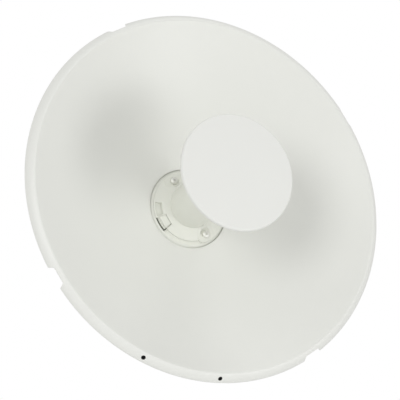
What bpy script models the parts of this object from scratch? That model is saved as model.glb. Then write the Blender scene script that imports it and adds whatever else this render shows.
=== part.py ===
"""Microwave dish antenna with a centre feed, a rear radio housing and a tilting wall or pole bracket.

Metres. +Z is up and the dish looks along -Y. The origin is the centre of the flat rear face of
the mounting bracket, so everything lies at negative Y. "Station" is the distance behind the
plane of the dish's lip: negative stations are in front of the lip.
"""

import math

import bmesh
import bpy
from mathutils import Matrix, Vector

GAP = 0.0003
CUT = 0.012
LIP_TO_FACE = 0.235

LIP_RADIUS = 0.225
BOWL_DEPTH = 0.082
FOCAL_LENGTH = LIP_RADIUS ** 2 / (4 * BOWL_DEPTH)
SHEET = 0.0015
CENTRE_HOLE_RADIUS = 0.0528
RIM_MIDDLE = (0.2308, 0.0035)
RIM_EDGE = (0.2355, 0.0098)
BOWL_RINGS = 8
RIM_RINGS = 3
DISH_SIDES = 72
DISC_SIDES = 64
HUB_SIDES = 48
BOSS_SIDES = 24
HOLE_SIDES = 16

NOTCH_ANGLES = (45, 134, 225, 316)
NOTCH_MOUTH = 0.027
NOTCH_FLOOR = 0.021
DRAIN_ANGLES = (-101.1, -76.7)
DRAIN_RADIUS = 0.00275

HUB_RADIUS = 0.0540
HUB_FACE_RADIUS = 0.0485
HUB_SHOULDER_RADIUS = 0.0523
HUB_SHOULDER_BACK = 0.0801
HUB_FRONT = 0.0777
HUB_BACK = 0.0917
FLANGE_RADIUS = 0.0483
FLANGE_CUT_RADIUS = 0.0435
FLANGE_FRONT = 0.0757
SKIRT_RADIUS = 0.0420
LOBE_GAP_ANGLES = ((-122, -52), (58, 128))
LATCH_ANGLES = (-146, -123)
LATCH_SLIT_RADII = (0.0465, 0.0481)
LATCH_HOOK_RADII = (0.0425, 0.0474)
LATCH_HOOK_ANGLES = (-124.7, -122.7)
LATCH_SLIT_DEPTH = 0.0080
LATCH_CAVITY_RADIUS = 0.0436
LATCH_POCKET_RADII = (0.0352, 0.0465)
LATCH_TAB_RADII = (0.0358, 0.0450)
LATCH_TAB_ANGLES = (-145.3, -125.2)
LATCH_TAB_HEIGHT = 0.0030
WINDOW_ANGLES = (-171, -148.5)
WINDOW_RADII = (0.0378, 0.0464)
NECK_FOOT = 0.0700
NECK_RADIUS = 0.0280
NECK_SHOULDER = 0.0010
NECK_TOP_RADIUS = 0.0265
FEED_SCREW_ANGLES = {"upper": 135, "lower": -45}
FEED_SCREW_RADIUS = 0.0395
BOSS_RADIUS = 0.0120
BOSS_REACH = 0.0480
BOSS_FRONT = 0.0748
SCREW_POCKET_RADIUS = 0.0072
SCREW_POCKET_MOUTH = 0.0126
SCREW_HEAD_RADIUS = 0.0048
SCREW_HEAD_HEIGHT = 0.0042
SCREW_HEAD_EDGE = 0.0014
SCREW_SHANK_RADIUS = 0.0020
SCREW_SHANK_LENGTH = 0.0080

DISC_RADIUS = 0.0721
DISC_FRONT = -0.0701
DISC_THICKNESS = 0.0050
DISC_EDGE_RADIUS = 0.0030
DISC_CONE_HEIGHT = 0.0170
DISC_CONE_EDGE = 0.0030
DISC_CONE_COLLAR = 0.0035

RING_INNER_RADIUS = 0.0545
RING_OUTER_RADIUS = 0.0920
RING_SHEET = 0.0020
RING_BACK = HUB_BACK
BOWL_SEAT_GAP = 0.0004

HOUSING_HALF_WIDTH = 0.058
HOUSING_TOP = 0.058
HOUSING_BOTTOM = -0.088
HOUSING_CORNER = 0.028
HOUSING_FRONT = 0.0920
HOUSING_BACK = 0.1400
COVER_BACK = 0.1490
COVER_INSET = 0.0015
COVER_EDGE = 0.0035
PORT_HALF_WIDTH = 0.030
PORT_FRONT = 0.0985
PORT_BACK = 0.1345
PORT_HEIGHT = 0.0065
PORT_CORNER = 0.0060
GROMMET_RADIUS = 0.0095
GROMMET_HOLE_RADIUS = 0.0035
GROMMET_HEIGHT = 0.0080

STEEL = 0.0030
FACE_STEEL = 0.0040
BEND_RADIUS = 0.0040
BEND_STEPS = 3
CRADLE_HALF_WIDTH = 0.0635
CRADLE_FOOT_REACH = 0.0905
CRADLE_HALF_HEIGHT = 0.028
CRADLE_WEB = 0.1535
FOOT_BOLT_X = 0.0800
FOOT_BOLT_Z = 0.0180
FOOT_BOLT_LENGTH = 0.0120

CHANNEL_HALF_WIDTH = 0.0365
CHANNEL_WEB = CRADLE_WEB + STEEL + GAP
CHANNEL_HALF_HEIGHT = 0.040
CHANNEL_CORNER = 0.0040
EAR_PIVOT_RADIUS = 0.0130
EAR_LOCK_RADIUS = 0.0100
WEB_BOLT_Z = 0.0180
WEB_BOLT_LENGTH = 0.0075

PIVOT_TO_FACE = 0.048
PIVOT_STATION = LIP_TO_FACE - PIVOT_TO_FACE
TILT_LIMIT = 20
LOCK_RADIUS = 0.032
LOCK_ANGLE = -45
SLOT_CLEARANCE = 0.0008
SLOT_STEP_ANGLE = 4

BRACKET_HALF_WIDTH = 0.0405
FACE_HALF_HEIGHT = 0.080
BRACKET_BEND_RADIUS = 0.0050
CHEEK_NOSE_RADIUS = 0.0160
CHEEK_NOSE_ANGLES = (80, 235)
CHEEK_TOP = 0.030
CHEEK_BOTTOM = -0.048
CHEEK_CORNER = 0.0080
CHEEK_CORNER_REACH = 0.0060
CHEEK_RELIEF = 0.0040
CHEEK_RELIEF_DEPTH = 0.0015
FACE_SLOT_X = 0.024
FACE_SLOT_Z = 0.060
FACE_SLOT_HALF_LENGTH = 0.010
FACE_SLOT_RADIUS = 0.0045

M8_RADIUS = 0.0040
M8_HEAD_RADIUS = 0.0075
M8_HEAD_HEIGHT = 0.0053
M8_HOLE_RADIUS = 0.0044
M8_WASHER_RADIUS = 0.0080
M8_WASHER_HEIGHT = 0.0016
M8_THREAD_PAST_NUT = 0.0030
M6_RADIUS = 0.0030
M6_HEAD_RADIUS = 0.0058
M6_HEAD_HEIGHT = 0.0040
M6_HOLE_RADIUS = 0.0033

SHARP_ANGLE = 30
MERGE = 0.00001

FIXED_PIECES = ("mount_bracket", "pivot_bolt", "pivot_nut", "pivot_washer_left", "pivot_washer_right")
FACING = {
    "X": Matrix(((0, 0, 1), (1, 0, 0), (0, 1, 0))).to_4x4(),
    "Y": Matrix(((1, 0, 0), (0, 0, -1), (0, 1, 0))).to_4x4(),
    "Z": Matrix.Identity(4),
}
REARWARD = Matrix.Rotation(math.radians(-90), 4, "X")
ALONG_Y = Matrix.Rotation(math.radians(90), 4, "X")
ALONG_X = Matrix.Rotation(math.radians(90), 4, "Y")


def clear_scene():
    for item in list(bpy.data.objects):
        bpy.data.objects.remove(item)


def new_collection(name):
    collection = bpy.data.collections.new(name)
    bpy.context.scene.collection.children.link(collection)
    return collection


def new_material(name, colour, roughness, metallic):
    material = bpy.data.materials.new(name)
    material.use_nodes = True
    shader = material.node_tree.nodes["Principled BSDF"]
    shader.inputs["Base Color"].default_value = (*colour, 1)
    shader.inputs["Roughness"].default_value = roughness
    shader.inputs["Metallic"].default_value = metallic
    return material


def station(distance):
    """World Y of a place that far behind the lip plane."""
    return distance - LIP_TO_FACE


def polar(radius, degrees):
    """World X and Z of a point round the dish's axis."""
    angle = math.radians(degrees)
    return radius * math.cos(angle), radius * math.sin(angle)


def add_part(name, mesh, material, matrix=None):
    """A named piece of the antenna."""
    part = bpy.data.objects.new(name, mesh)
    mesh.name = name
    mesh.materials.clear()
    mesh.materials.append(material)
    part.matrix_world = matrix or Matrix.Identity(4)
    parts.objects.link(part)
    return part


def add_cutter(name, mesh, matrix=None):
    """A hidden shape that cuts or joins a piece."""
    cutter = bpy.data.objects.new(name, mesh)
    cutter.matrix_world = matrix or Matrix.Identity(4)
    cutter.display_type = "WIRE"
    cutter.hide_render = True
    cutters.objects.link(cutter)
    return cutter


def boolean(part, cutter, operation="DIFFERENCE"):
    modifier = part.modifiers.new(cutter.name, "BOOLEAN")
    modifier.operation = operation
    modifier.solver = "EXACT"
    modifier.object = cutter


def shade_round(mesh):
    """Smooth shading that stops at real edges."""
    mesh.shade_smooth()
    mesh.set_sharp_from_angle(angle=math.radians(SHARP_ANGLE))


def profile_mesh(name, points):
    """A line of edges in the local XZ plane, ready for a Screw modifier."""
    mesh = bpy.data.meshes.new(name)
    vertices = [(radius, 0, height) for radius, height in points]
    edges = [(i, i + 1) for i in range(len(points) - 1)]
    mesh.from_pydata(vertices, edges, [])
    return mesh


def turned(name, points, material, steps, centre=(0, 0)):
    """A piece turned about a line along Y. Points are radius and station, down the outer side."""
    x, z = centre
    matrix = Matrix.Translation((x, -LIP_TO_FACE, z)) @ REARWARD
    part = add_part(name, profile_mesh(name, points), material, matrix)
    modifier = part.modifiers.new("turn", "SCREW")
    modifier.axis = "Z"
    modifier.angle = math.radians(360)
    modifier.steps = steps
    modifier.render_steps = steps
    modifier.use_merge_vertices = True
    modifier.merge_threshold = MERGE
    modifier.use_smooth_shade = True
    return part


def cylinder_mesh(name, radius, height, sides, top_radius=None):
    mesh = bpy.data.meshes.new(name)
    shape = bmesh.new()
    bmesh.ops.create_cone(
        shape, cap_ends=True, segments=sides, radius1=radius, radius2=top_radius or radius, depth=height
    )
    shape.to_mesh(mesh)
    shape.free()
    shade_round(mesh)
    return mesh


def joined_cutter(name, meshes_and_matrices):
    """One cutter made of several shapes that don't touch."""
    shape = bmesh.new()
    for mesh, matrix in meshes_and_matrices:
        piece = mesh.copy()
        piece.transform(matrix)
        shape.from_mesh(piece)
        bpy.data.meshes.remove(piece)
    mesh = bpy.data.meshes.new(name)
    shape.to_mesh(mesh)
    shape.free()
    return add_cutter(name, mesh)


def plate_mesh(name, outlines, thickness, facing):
    """A flat plate from an outline and its holes. Facing X outlines are Y and Z, facing Y are X and Z."""
    curve = bpy.data.curves.new(name, "CURVE")
    curve.dimensions = "2D"
    curve.fill_mode = "BOTH"
    curve.extrude = thickness / 2
    for outline in outlines:
        spline = curve.splines.new("POLY")
        spline.points.add(len(outline) - 1)
        for point, (x, y) in zip(spline.points, outline):
            point.co = (x, y, 0, 1)
        spline.use_cyclic_u = True
    drawn = bpy.data.objects.new(name, curve)
    bpy.context.scene.collection.objects.link(drawn)
    bpy.context.view_layer.update()
    evaluated = drawn.evaluated_get(bpy.context.evaluated_depsgraph_get())
    mesh = bpy.data.meshes.new_from_object(evaluated)
    bpy.data.objects.remove(drawn)
    bpy.data.curves.remove(curve)
    shape = bmesh.new()
    shape.from_mesh(mesh)
    bmesh.ops.remove_doubles(shape, verts=shape.verts, dist=MERGE)
    bmesh.ops.recalc_face_normals(shape, faces=shape.faces)
    shape.transform(FACING[facing])
    shape.to_mesh(mesh)
    shape.free()
    shade_round(mesh)
    return mesh


def arc(centre, radius, start, end, steps):
    """Points on an arc, both ends included, angles in degrees."""
    found = []
    for i in range(steps + 1):
        angle = math.radians(start + (end - start) * i / steps)
        found.append((centre[0] + radius * math.cos(angle), centre[1] + radius * math.sin(angle)))
    return found


def circle(centre, radius, sides):
    return arc(centre, radius, 0, 360 * (sides - 1) / sides, sides - 1)


def hexagon(centre, radius):
    return circle(centre, radius, 6)


def rounded_rectangle(left, right, bottom, top, corner, steps):
    corners = (
        ((right - corner, top - corner), 0),
        ((left + corner, top - corner), 90),
        ((left + corner, bottom + corner), 180),
        ((right - corner, bottom + corner), 270),
    )
    return [point for centre, start in corners for point in arc(centre, corner, start, start + 90, steps)]


def long_slot(centre, half_length, radius, steps):
    """A slot with round ends that runs along the first direction."""
    x, y = centre
    return (
        arc((x + half_length, y), radius, -90, 90, steps)
        + arc((x - half_length, y), radius, 90, 270, steps)
    )


def arc_slot(centre, path_radius, radius, start, end, step_angle):
    """A slot with round ends that runs along an arc."""
    along = max(2, round(abs(end - start) / step_angle))
    first = arc(centre, path_radius, start, start, 1)[0]
    last = arc(centre, path_radius, end, end, 1)[0]
    return (
        arc(centre, path_radius + radius, start, end, along)
        + arc(last, radius, end, end + 180, 6)[1:-1]
        + arc(centre, path_radius - radius, end, start, along)
        + arc(first, radius, start + 180, start + 360, 6)[1:-1]
    )


def bent_path(points, radius):
    """A sheet's centre line with its corners rounded, as points and unit normals."""
    corners = [Vector(point) for point in points]
    found = []
    for i, corner in enumerate(corners):
        before = (corner - corners[i - 1]).normalized() if i else None
        after = (corners[i + 1] - corner).normalized() if i < len(corners) - 1 else None
        if before is None or after is None:
            along = after or before
            found.append((corner, Vector((-along.y, along.x))))
            continue
        turn = before.angle_signed(after)
        left = -1 if turn > 0 else 1
        reach = radius * math.tan(abs(turn) / 2)
        start = corner - before * reach
        normal = Vector((-before.y, before.x))
        middle = start + normal * radius * left
        for step in range(BEND_STEPS + 1):
            swing = Matrix.Rotation(-turn * step / BEND_STEPS, 2)
            direction = swing @ normal
            found.append((middle - direction * radius * left, direction))
    return found


def sheet_outline(points, radius, thickness):
    """The outline of a bent sheet, seen on edge."""
    path = bent_path(points, radius)
    left = [tuple(point + normal * thickness / 2) for point, normal in path]
    right = [tuple(point - normal * thickness / 2) for point, normal in path]
    return left + right[::-1]


def bowl_station(radius):
    return BOWL_DEPTH - radius ** 2 / (4 * FOCAL_LENGTH)


def seat_behind_bowl(radius):
    """Station of a piece that rests on the bowl's back at that radius."""
    slope = math.atan(radius / (2 * FOCAL_LENGTH))
    return bowl_station(radius) + (SHEET + BOWL_SEAT_GAP) / math.cos(slope)


def arc_through(first, middle, last, steps):
    """Points on the circle through three points, from the first to the last."""
    a, b, c = Vector(first), Vector(middle), Vector(last)
    d = 2 * (a.x * (b.y - c.y) + b.x * (c.y - a.y) + c.x * (a.y - b.y))
    x = a.length_squared * (b.y - c.y) + b.length_squared * (c.y - a.y) + c.length_squared * (a.y - b.y)
    y = a.length_squared * (c.x - b.x) + b.length_squared * (a.x - c.x) + c.length_squared * (b.x - a.x)
    centre = Vector((x / d, y / d))
    start = math.degrees(math.atan2(a.y - centre.y, a.x - centre.x))
    end = math.degrees(math.atan2(c.y - centre.y, c.x - centre.x))
    return arc(centre, (a - centre).length, start, end, steps)


def make_reflector():
    """A spun bowl with a rolled rim, from the rim's rear edge in to the centre hole."""
    rim = arc_through((LIP_RADIUS, 0), RIM_MIDDLE, RIM_EDGE, RIM_RINGS)[::-1]
    width = LIP_RADIUS - CENTRE_HOLE_RADIUS
    radii = [LIP_RADIUS - width * i / BOWL_RINGS for i in range(1, BOWL_RINGS + 1)]
    bowl = [(radius, bowl_station(radius)) for radius in radii]
    reflector = turned("reflector", rim + bowl, dish_paint, DISH_SIDES)
    shell = reflector.modifiers.new("sheet", "SOLIDIFY")
    shell.thickness = SHEET
    shell.offset = -1
    shell.use_even_offset = True

    floor = RIM_MIDDLE[0]
    reach = RIM_EDGE[0] + CUT / 2
    slope = (NOTCH_MOUTH - NOTCH_FLOOR) / 2 / (RIM_EDGE[0] - floor)
    mouth = NOTCH_FLOOR / 2 + slope * (reach - floor)
    outline = [(floor, -NOTCH_FLOOR / 2), (reach, -mouth), (reach, mouth), (floor, NOTCH_FLOOR / 2)]
    notch = plate_mesh("notch", [outline], 2 * CUT, "Y")
    turns = [
        Matrix.Translation((0, station(RIM_EDGE[1]), 0)) @ Matrix.Rotation(math.radians(-angle), 4, "Y")
        for angle in NOTCH_ANGLES
    ]
    boolean(reflector, joined_cutter("rim_notches", [(notch, turn) for turn in turns]))

    drain = cylinder_mesh("drain", DRAIN_RADIUS, CUT, HOLE_SIDES)
    places = []
    for angle in DRAIN_ANGLES:
        x, z = polar(1, angle)
        outward = Vector((x * RIM_EDGE[1], LIP_RADIUS - RIM_EDGE[0], z * RIM_EDGE[1]))
        spin = outward.to_track_quat("Z", "Y").to_matrix().to_4x4()
        middle = Vector((x * RIM_MIDDLE[0], station(RIM_MIDDLE[1]), z * RIM_MIDDLE[0]))
        places.append((drain, Matrix.Translation(middle) @ spin))
    boolean(reflector, joined_cutter("rim_drains", places))
    return reflector


def sector_mesh(name, inner, outer, start, end, thickness, steps):
    outline = arc((0, 0), outer, start, end, steps) + arc((0, 0), inner, end, start, steps)
    return plate_mesh(name, [outline], thickness, "Y")


def make_hub():
    """The plastic hub that fills the dish's centre hole, and the feed's flange screwed onto it."""
    outline = [
        (0, HUB_BACK),
        (HUB_RADIUS, HUB_BACK),
        (HUB_RADIUS, HUB_SHOULDER_BACK),
        (HUB_SHOULDER_RADIUS, HUB_SHOULDER_BACK),
        (HUB_FACE_RADIUS, HUB_FRONT),
        (0, HUB_FRONT),
    ]
    hub = turned("hub_ring", outline, feed_plastic, HUB_SIDES)

    flange_back = HUB_FRONT - GAP
    profile = [
        (0, flange_back),
        (FLANGE_RADIUS, flange_back),
        (FLANGE_RADIUS, FLANGE_FRONT),
        (SKIRT_RADIUS, FLANGE_FRONT),
        (NECK_RADIUS + NECK_SHOULDER, NECK_FOOT),
        (0, NECK_FOOT),
    ]
    flange = turned("feed_flange", profile, feed_plastic, HUB_SIDES)

    beyond = FLANGE_RADIUS + CUT / 4
    level = Matrix.Translation((0, station(HUB_FRONT), 0))
    gaps = [
        (sector_mesh("lobe_gap", FLANGE_CUT_RADIUS, beyond, start, end, CUT, 10), level)
        for start, end in LOBE_GAP_ANGLES
    ]
    boolean(flange, joined_cutter("lobe_gaps", gaps))

    boss_height = flange_back - BOSS_FRONT
    boss_level = Matrix.Translation((0, station(BOSS_FRONT + boss_height / 2), 0))
    pocket = cylinder_mesh("screw_pocket", SCREW_POCKET_RADIUS, CUT, BOSS_SIDES, SCREW_POCKET_MOUTH)
    shank = cylinder_mesh("shank_hole", SCREW_SHANK_RADIUS + GAP, 2 * SCREW_SHANK_LENGTH, HOLE_SIDES)
    boss_places = []
    pocket_places = []
    hole_places = []
    for angle in FEED_SCREW_ANGLES.values():
        x, z = polar(FEED_SCREW_RADIUS, angle)
        seat = Matrix.Translation((x, station(BOSS_FRONT), z)) @ ALONG_Y
        rim = [Vector(point) for point in circle((x, z), BOSS_RADIUS, BOSS_SIDES)]
        trimmed = [tuple(point * min(1, BOSS_REACH / point.length)) for point in rim]
        boss_places.append((plate_mesh("boss", [trimmed], boss_height, "Y"), boss_level))
        pocket_places.append((pocket, Matrix.Translation((0, -CUT / 2, 0)) @ seat))
        hole_places.append((shank, seat))
    boolean(flange, joined_cutter("screw_bosses", boss_places), "UNION")
    boolean(flange, joined_cutter("screw_pockets", pocket_places))
    boolean(flange, joined_cutter("screw_holes", hole_places))
    boolean(hub, joined_cutter("screw_holes_in_hub", hole_places))

    slit_inner, slit_outer = LATCH_SLIT_RADII
    latch_front = Matrix.Translation((0, station(FLANGE_FRONT - CUT / 2), 0))
    slit = sector_mesh("latch_slit", slit_inner, beyond, *LATCH_ANGLES, CUT, 4)
    latch_pocket = sector_mesh("latch_pocket", *LATCH_POCKET_RADII, *LATCH_ANGLES, CUT, 4)
    window = sector_mesh("window", *WINDOW_RADII, *WINDOW_ANGLES, CUT, 3)
    boolean(flange, joined_cutter("latch_slit_in_flange", [(slit, level)]))
    boolean(flange, joined_cutter("latch_pocket", [(latch_pocket, latch_front)]))
    boolean(flange, joined_cutter("window", [(window, level)]))

    cavity = sector_mesh("latch_cavity", LATCH_CAVITY_RADIUS, slit_outer, *LATCH_ANGLES, 2 * LATCH_SLIT_DEPTH, 4)
    hook = sector_mesh("latch_hook", *LATCH_HOOK_RADII, *LATCH_HOOK_ANGLES, 2 * LATCH_SLIT_DEPTH, 1)
    boolean(hub, joined_cutter("latch_cavity_in_hub", [(cavity, level)]))
    boolean(hub, joined_cutter("latch_hook_in_hub", [(hook, level)]))
    boolean(flange, joined_cutter("latch_hook_in_flange", [(hook, level)]))


def make_latch():
    """The raised spring tab that keeps the feed from turning back off the hub."""
    mesh = sector_mesh("latch_tab", *LATCH_TAB_RADII, *LATCH_TAB_ANGLES, LATCH_TAB_HEIGHT, 4)
    middle = FLANGE_FRONT - GAP - LATCH_TAB_HEIGHT / 2
    return add_part("latch_tab", mesh, feed_plastic, Matrix.Translation((0, station(middle), 0)))


def make_feed_screws():
    for place, angle in FEED_SCREW_ANGLES.items():
        seat = BOSS_FRONT - GAP
        crown = seat - SCREW_HEAD_HEIGHT
        profile = [
            (0, seat + SCREW_SHANK_LENGTH),
            (SCREW_SHANK_RADIUS, seat + SCREW_SHANK_LENGTH),
            (SCREW_SHANK_RADIUS, seat),
            (SCREW_HEAD_RADIUS, seat),
            (SCREW_HEAD_RADIUS, crown + SCREW_HEAD_EDGE),
            (SCREW_HEAD_RADIUS - SCREW_HEAD_EDGE, crown),
            (0, crown),
        ]
        screw_centre = polar(FEED_SCREW_RADIUS, angle)
        turned(f"feed_screw_{place}", profile, fastener_steel, HOLE_SIDES, screw_centre)


def make_feed():
    """The hollow neck's outer form, and the disc in front of it in two pieces."""
    cone_front = DISC_FRONT + DISC_THICKNESS + GAP
    cone_back = cone_front + DISC_CONE_HEIGHT
    neck = [
        (0, NECK_FOOT - GAP),
        (NECK_RADIUS, NECK_FOOT - GAP),
        (NECK_TOP_RADIUS, cone_back + GAP),
        (0, cone_back + GAP),
    ]
    turned("feed_neck", neck, feed_plastic, HUB_SIDES)

    collar = NECK_TOP_RADIUS + DISC_CONE_COLLAR
    cone = [
        (0, cone_back),
        (collar, cone_back),
        (collar + DISC_CONE_EDGE, cone_back - DISC_CONE_EDGE),
        (DISC_RADIUS - 2 * DISC_CONE_EDGE, cone_front + DISC_CONE_EDGE),
        (DISC_RADIUS - DISC_CONE_EDGE, cone_front),
        (0, cone_front),
    ]
    turned("subreflector_cone", cone, feed_plastic, DISC_SIDES)

    edge = arc((DISC_RADIUS - DISC_EDGE_RADIUS, DISC_FRONT + DISC_EDGE_RADIUS), DISC_EDGE_RADIUS, 0, -90, 4)
    cap = [(0, DISC_FRONT + DISC_THICKNESS), (DISC_RADIUS, DISC_FRONT + DISC_THICKNESS)] + edge
    cap.append((0, DISC_FRONT))
    turned("subreflector_cap", cap, disc_paint, DISC_SIDES)


def make_rear_ring():
    """A pressed ring welded to the back of the bowl: a skirt that seats on it and a flat flange."""
    skirt_inside = RING_OUTER_RADIUS - RING_SHEET
    flange_front = RING_BACK - RING_SHEET
    points = [
        (RING_OUTER_RADIUS, RING_BACK),
        (RING_OUTER_RADIUS, seat_behind_bowl(RING_OUTER_RADIUS)),
        (skirt_inside, seat_behind_bowl(skirt_inside)),
        (skirt_inside, flange_front),
        (RING_INNER_RADIUS, flange_front),
        (RING_INNER_RADIUS, RING_BACK),
        (RING_OUTER_RADIUS, RING_BACK),
    ]
    ring = turned("rear_hub_ring", points, dish_paint, DISH_SIDES)

    bolt_hole = cylinder_mesh("foot_hole", M6_HOLE_RADIUS, 2 * CUT, HOLE_SIDES)
    places = [
        (bolt_hole, Matrix.Translation((x, station(RING_BACK), z)) @ ALONG_Y)
        for x, z in foot_bolt_places().values()
    ]
    boolean(ring, joined_cutter("foot_holes_in_ring", places))


def foot_bolt_places():
    return {
        "left_upper": (-FOOT_BOLT_X, FOOT_BOLT_Z),
        "left_lower": (-FOOT_BOLT_X, -FOOT_BOLT_Z),
        "right_upper": (FOOT_BOLT_X, FOOT_BOLT_Z),
        "right_lower": (FOOT_BOLT_X, -FOOT_BOLT_Z),
    }


def bevelled(part, width, segments):
    modifier = part.modifiers.new("rounded edges", "BEVEL")
    modifier.width = width
    modifier.segments = segments
    modifier.limit_method = "ANGLE"
    modifier.angle_limit = math.radians(40)
    modifier.harden_normals = False


def slab(name, outline, front, back, material):
    """A plate that faces along Y, from one station to another."""
    mesh = plate_mesh(name, [outline], back - front, "Y")
    matrix = Matrix.Translation((0, station((front + back) / 2), 0))
    return add_part(name, mesh, material, matrix)


def make_housing():
    """The radio housing behind the hub, with its cover, port door and cable grommet."""
    body = rounded_rectangle(
        -HOUSING_HALF_WIDTH, HOUSING_HALF_WIDTH, HOUSING_BOTTOM, HOUSING_TOP, HOUSING_CORNER, 6
    )
    slab("radio_housing", body, HOUSING_FRONT, HOUSING_BACK, housing_plastic)

    inset = COVER_INSET
    lid = rounded_rectangle(
        -HOUSING_HALF_WIDTH + inset,
        HOUSING_HALF_WIDTH - inset,
        HOUSING_BOTTOM + inset,
        HOUSING_TOP - inset,
        HOUSING_CORNER - inset,
        6,
    )
    cover = slab("housing_cover", lid, HOUSING_BACK + GAP, COVER_BACK, housing_plastic)
    bevelled(cover, COVER_EDGE, 2)

    door = rounded_rectangle(
        -PORT_HALF_WIDTH, PORT_HALF_WIDTH, station(PORT_FRONT), station(PORT_BACK), PORT_CORNER, 3
    )
    door_mesh = plate_mesh("port_cover", [door], PORT_HEIGHT, "Z")
    door_height = HOUSING_BOTTOM - GAP - PORT_HEIGHT / 2
    add_part("port_cover", door_mesh, housing_plastic, Matrix.Translation((0, 0, door_height)))

    centre = (0, station((PORT_FRONT + PORT_BACK) / 2))
    outlines = [circle(centre, GROMMET_RADIUS, BOSS_SIDES), circle(centre, GROMMET_HOLE_RADIUS, HOLE_SIDES)]
    grommet_mesh = plate_mesh("cable_grommet", outlines, GROMMET_HEIGHT, "Z")
    grommet_height = HOUSING_BOTTOM - 2 * GAP - PORT_HEIGHT - GROMMET_HEIGHT / 2
    add_part("cable_grommet", grommet_mesh, rubber, Matrix.Translation((0, 0, grommet_height)))


def make_cradle():
    """A hat-shaped steel strap: feet on the rear ring, arms past the housing, a web behind it."""
    foot = station(HUB_BACK + GAP + STEEL / 2)
    web = station(CRADLE_WEB)
    line = [
        (-CRADLE_FOOT_REACH, foot),
        (-CRADLE_HALF_WIDTH, foot),
        (-CRADLE_HALF_WIDTH, web),
        (CRADLE_HALF_WIDTH, web),
        (CRADLE_HALF_WIDTH, foot),
        (CRADLE_FOOT_REACH, foot),
    ]
    mesh = plate_mesh("cradle", [sheet_outline(line, BEND_RADIUS, STEEL)], 2 * CRADLE_HALF_HEIGHT, "Z")
    cradle = add_part("cradle", mesh, bracket_steel)

    hole = cylinder_mesh("m6_hole_in_cradle", M6_HOLE_RADIUS, CUT, HOLE_SIDES)
    holes = [(hole, Matrix.Translation((x, foot, z)) @ ALONG_Y) for x, z in foot_bolt_places().values()]
    holes += [(hole, Matrix.Translation((0, web, z)) @ ALONG_Y) for z in (WEB_BOLT_Z, -WEB_BOLT_Z)]
    boolean(cradle, joined_cutter("cradle_holes", holes))


def rounded_hull(circles, steps=8):
    """The outline round a convex set of circles, given in turning order as centre and radius."""
    found = []
    count = len(circles)
    for i, (centre, radius) in enumerate(circles):
        before, before_radius = circles[i - 1]
        after, after_radius = circles[(i + 1) % count]
        arrive = tangent_angle(before, before_radius, centre, radius)
        leave = tangent_angle(centre, radius, after, after_radius)
        while leave < arrive:
            leave += 360
        found += arc(centre, radius, arrive, leave, max(1, round(steps * (leave - arrive) / 180)))
    return found


def tangent_angle(first, first_radius, second, second_radius):
    """Direction of the outer normal of the line that runs round both circles anticlockwise."""
    across = Vector(second) - Vector(first)
    heading = math.degrees(math.atan2(across.y, across.x))
    return heading - 90 + math.degrees(math.asin((first_radius - second_radius) / across.length))


def pivot_point():
    return station(PIVOT_STATION), 0.0


def lock_point():
    angle = math.radians(LOCK_ANGLE)
    return station(PIVOT_STATION) + LOCK_RADIUS * math.cos(angle), LOCK_RADIUS * math.sin(angle)


def make_tilt_channel():
    """The channel behind the cradle. Its ears turn on the pivot bolt and carry the lock bolt."""
    web = station(CHANNEL_WEB)
    rear = station(LIP_TO_FACE)
    line = [
        (-CHANNEL_HALF_WIDTH, rear),
        (-CHANNEL_HALF_WIDTH, web),
        (CHANNEL_HALF_WIDTH, web),
        (CHANNEL_HALF_WIDTH, rear),
    ]
    outline = sheet_outline(line, BEND_RADIUS, STEEL)
    mesh = plate_mesh("tilt_channel", [outline], 2 * (CHANNEL_HALF_HEIGHT + CUT), "Z")
    channel = add_part("tilt_channel", mesh, bracket_steel)

    front = web - STEEL / 2 - CHANNEL_CORNER / 2
    side = rounded_hull(
        [
            ((front, CHANNEL_HALF_HEIGHT - CHANNEL_CORNER), CHANNEL_CORNER),
            ((front, -CHANNEL_HALF_HEIGHT + CHANNEL_CORNER), CHANNEL_CORNER),
            (lock_point(), EAR_LOCK_RADIUS),
            (pivot_point(), EAR_PIVOT_RADIUS),
        ]
    )
    side_mesh = plate_mesh("channel_side", [side], 2 * (CHANNEL_HALF_WIDTH + CUT), "X")
    boolean(channel, add_cutter("channel_side", side_mesh), "INTERSECT")

    cross_hole = cylinder_mesh("cross_hole", M8_HOLE_RADIUS, 2 * (CHANNEL_HALF_WIDTH + CUT), HOLE_SIDES)
    web_hole = cylinder_mesh("web_hole", M6_HOLE_RADIUS, CUT, HOLE_SIDES)
    cross_places = (pivot_point(), lock_point())
    holes = [(cross_hole, Matrix.Translation((0, *place)) @ ALONG_X) for place in cross_places]
    holes += [(web_hole, Matrix.Translation((0, web, z)) @ ALONG_Y) for z in (WEB_BOLT_Z, -WEB_BOLT_Z)]
    boolean(channel, joined_cutter("channel_holes", holes))


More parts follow.
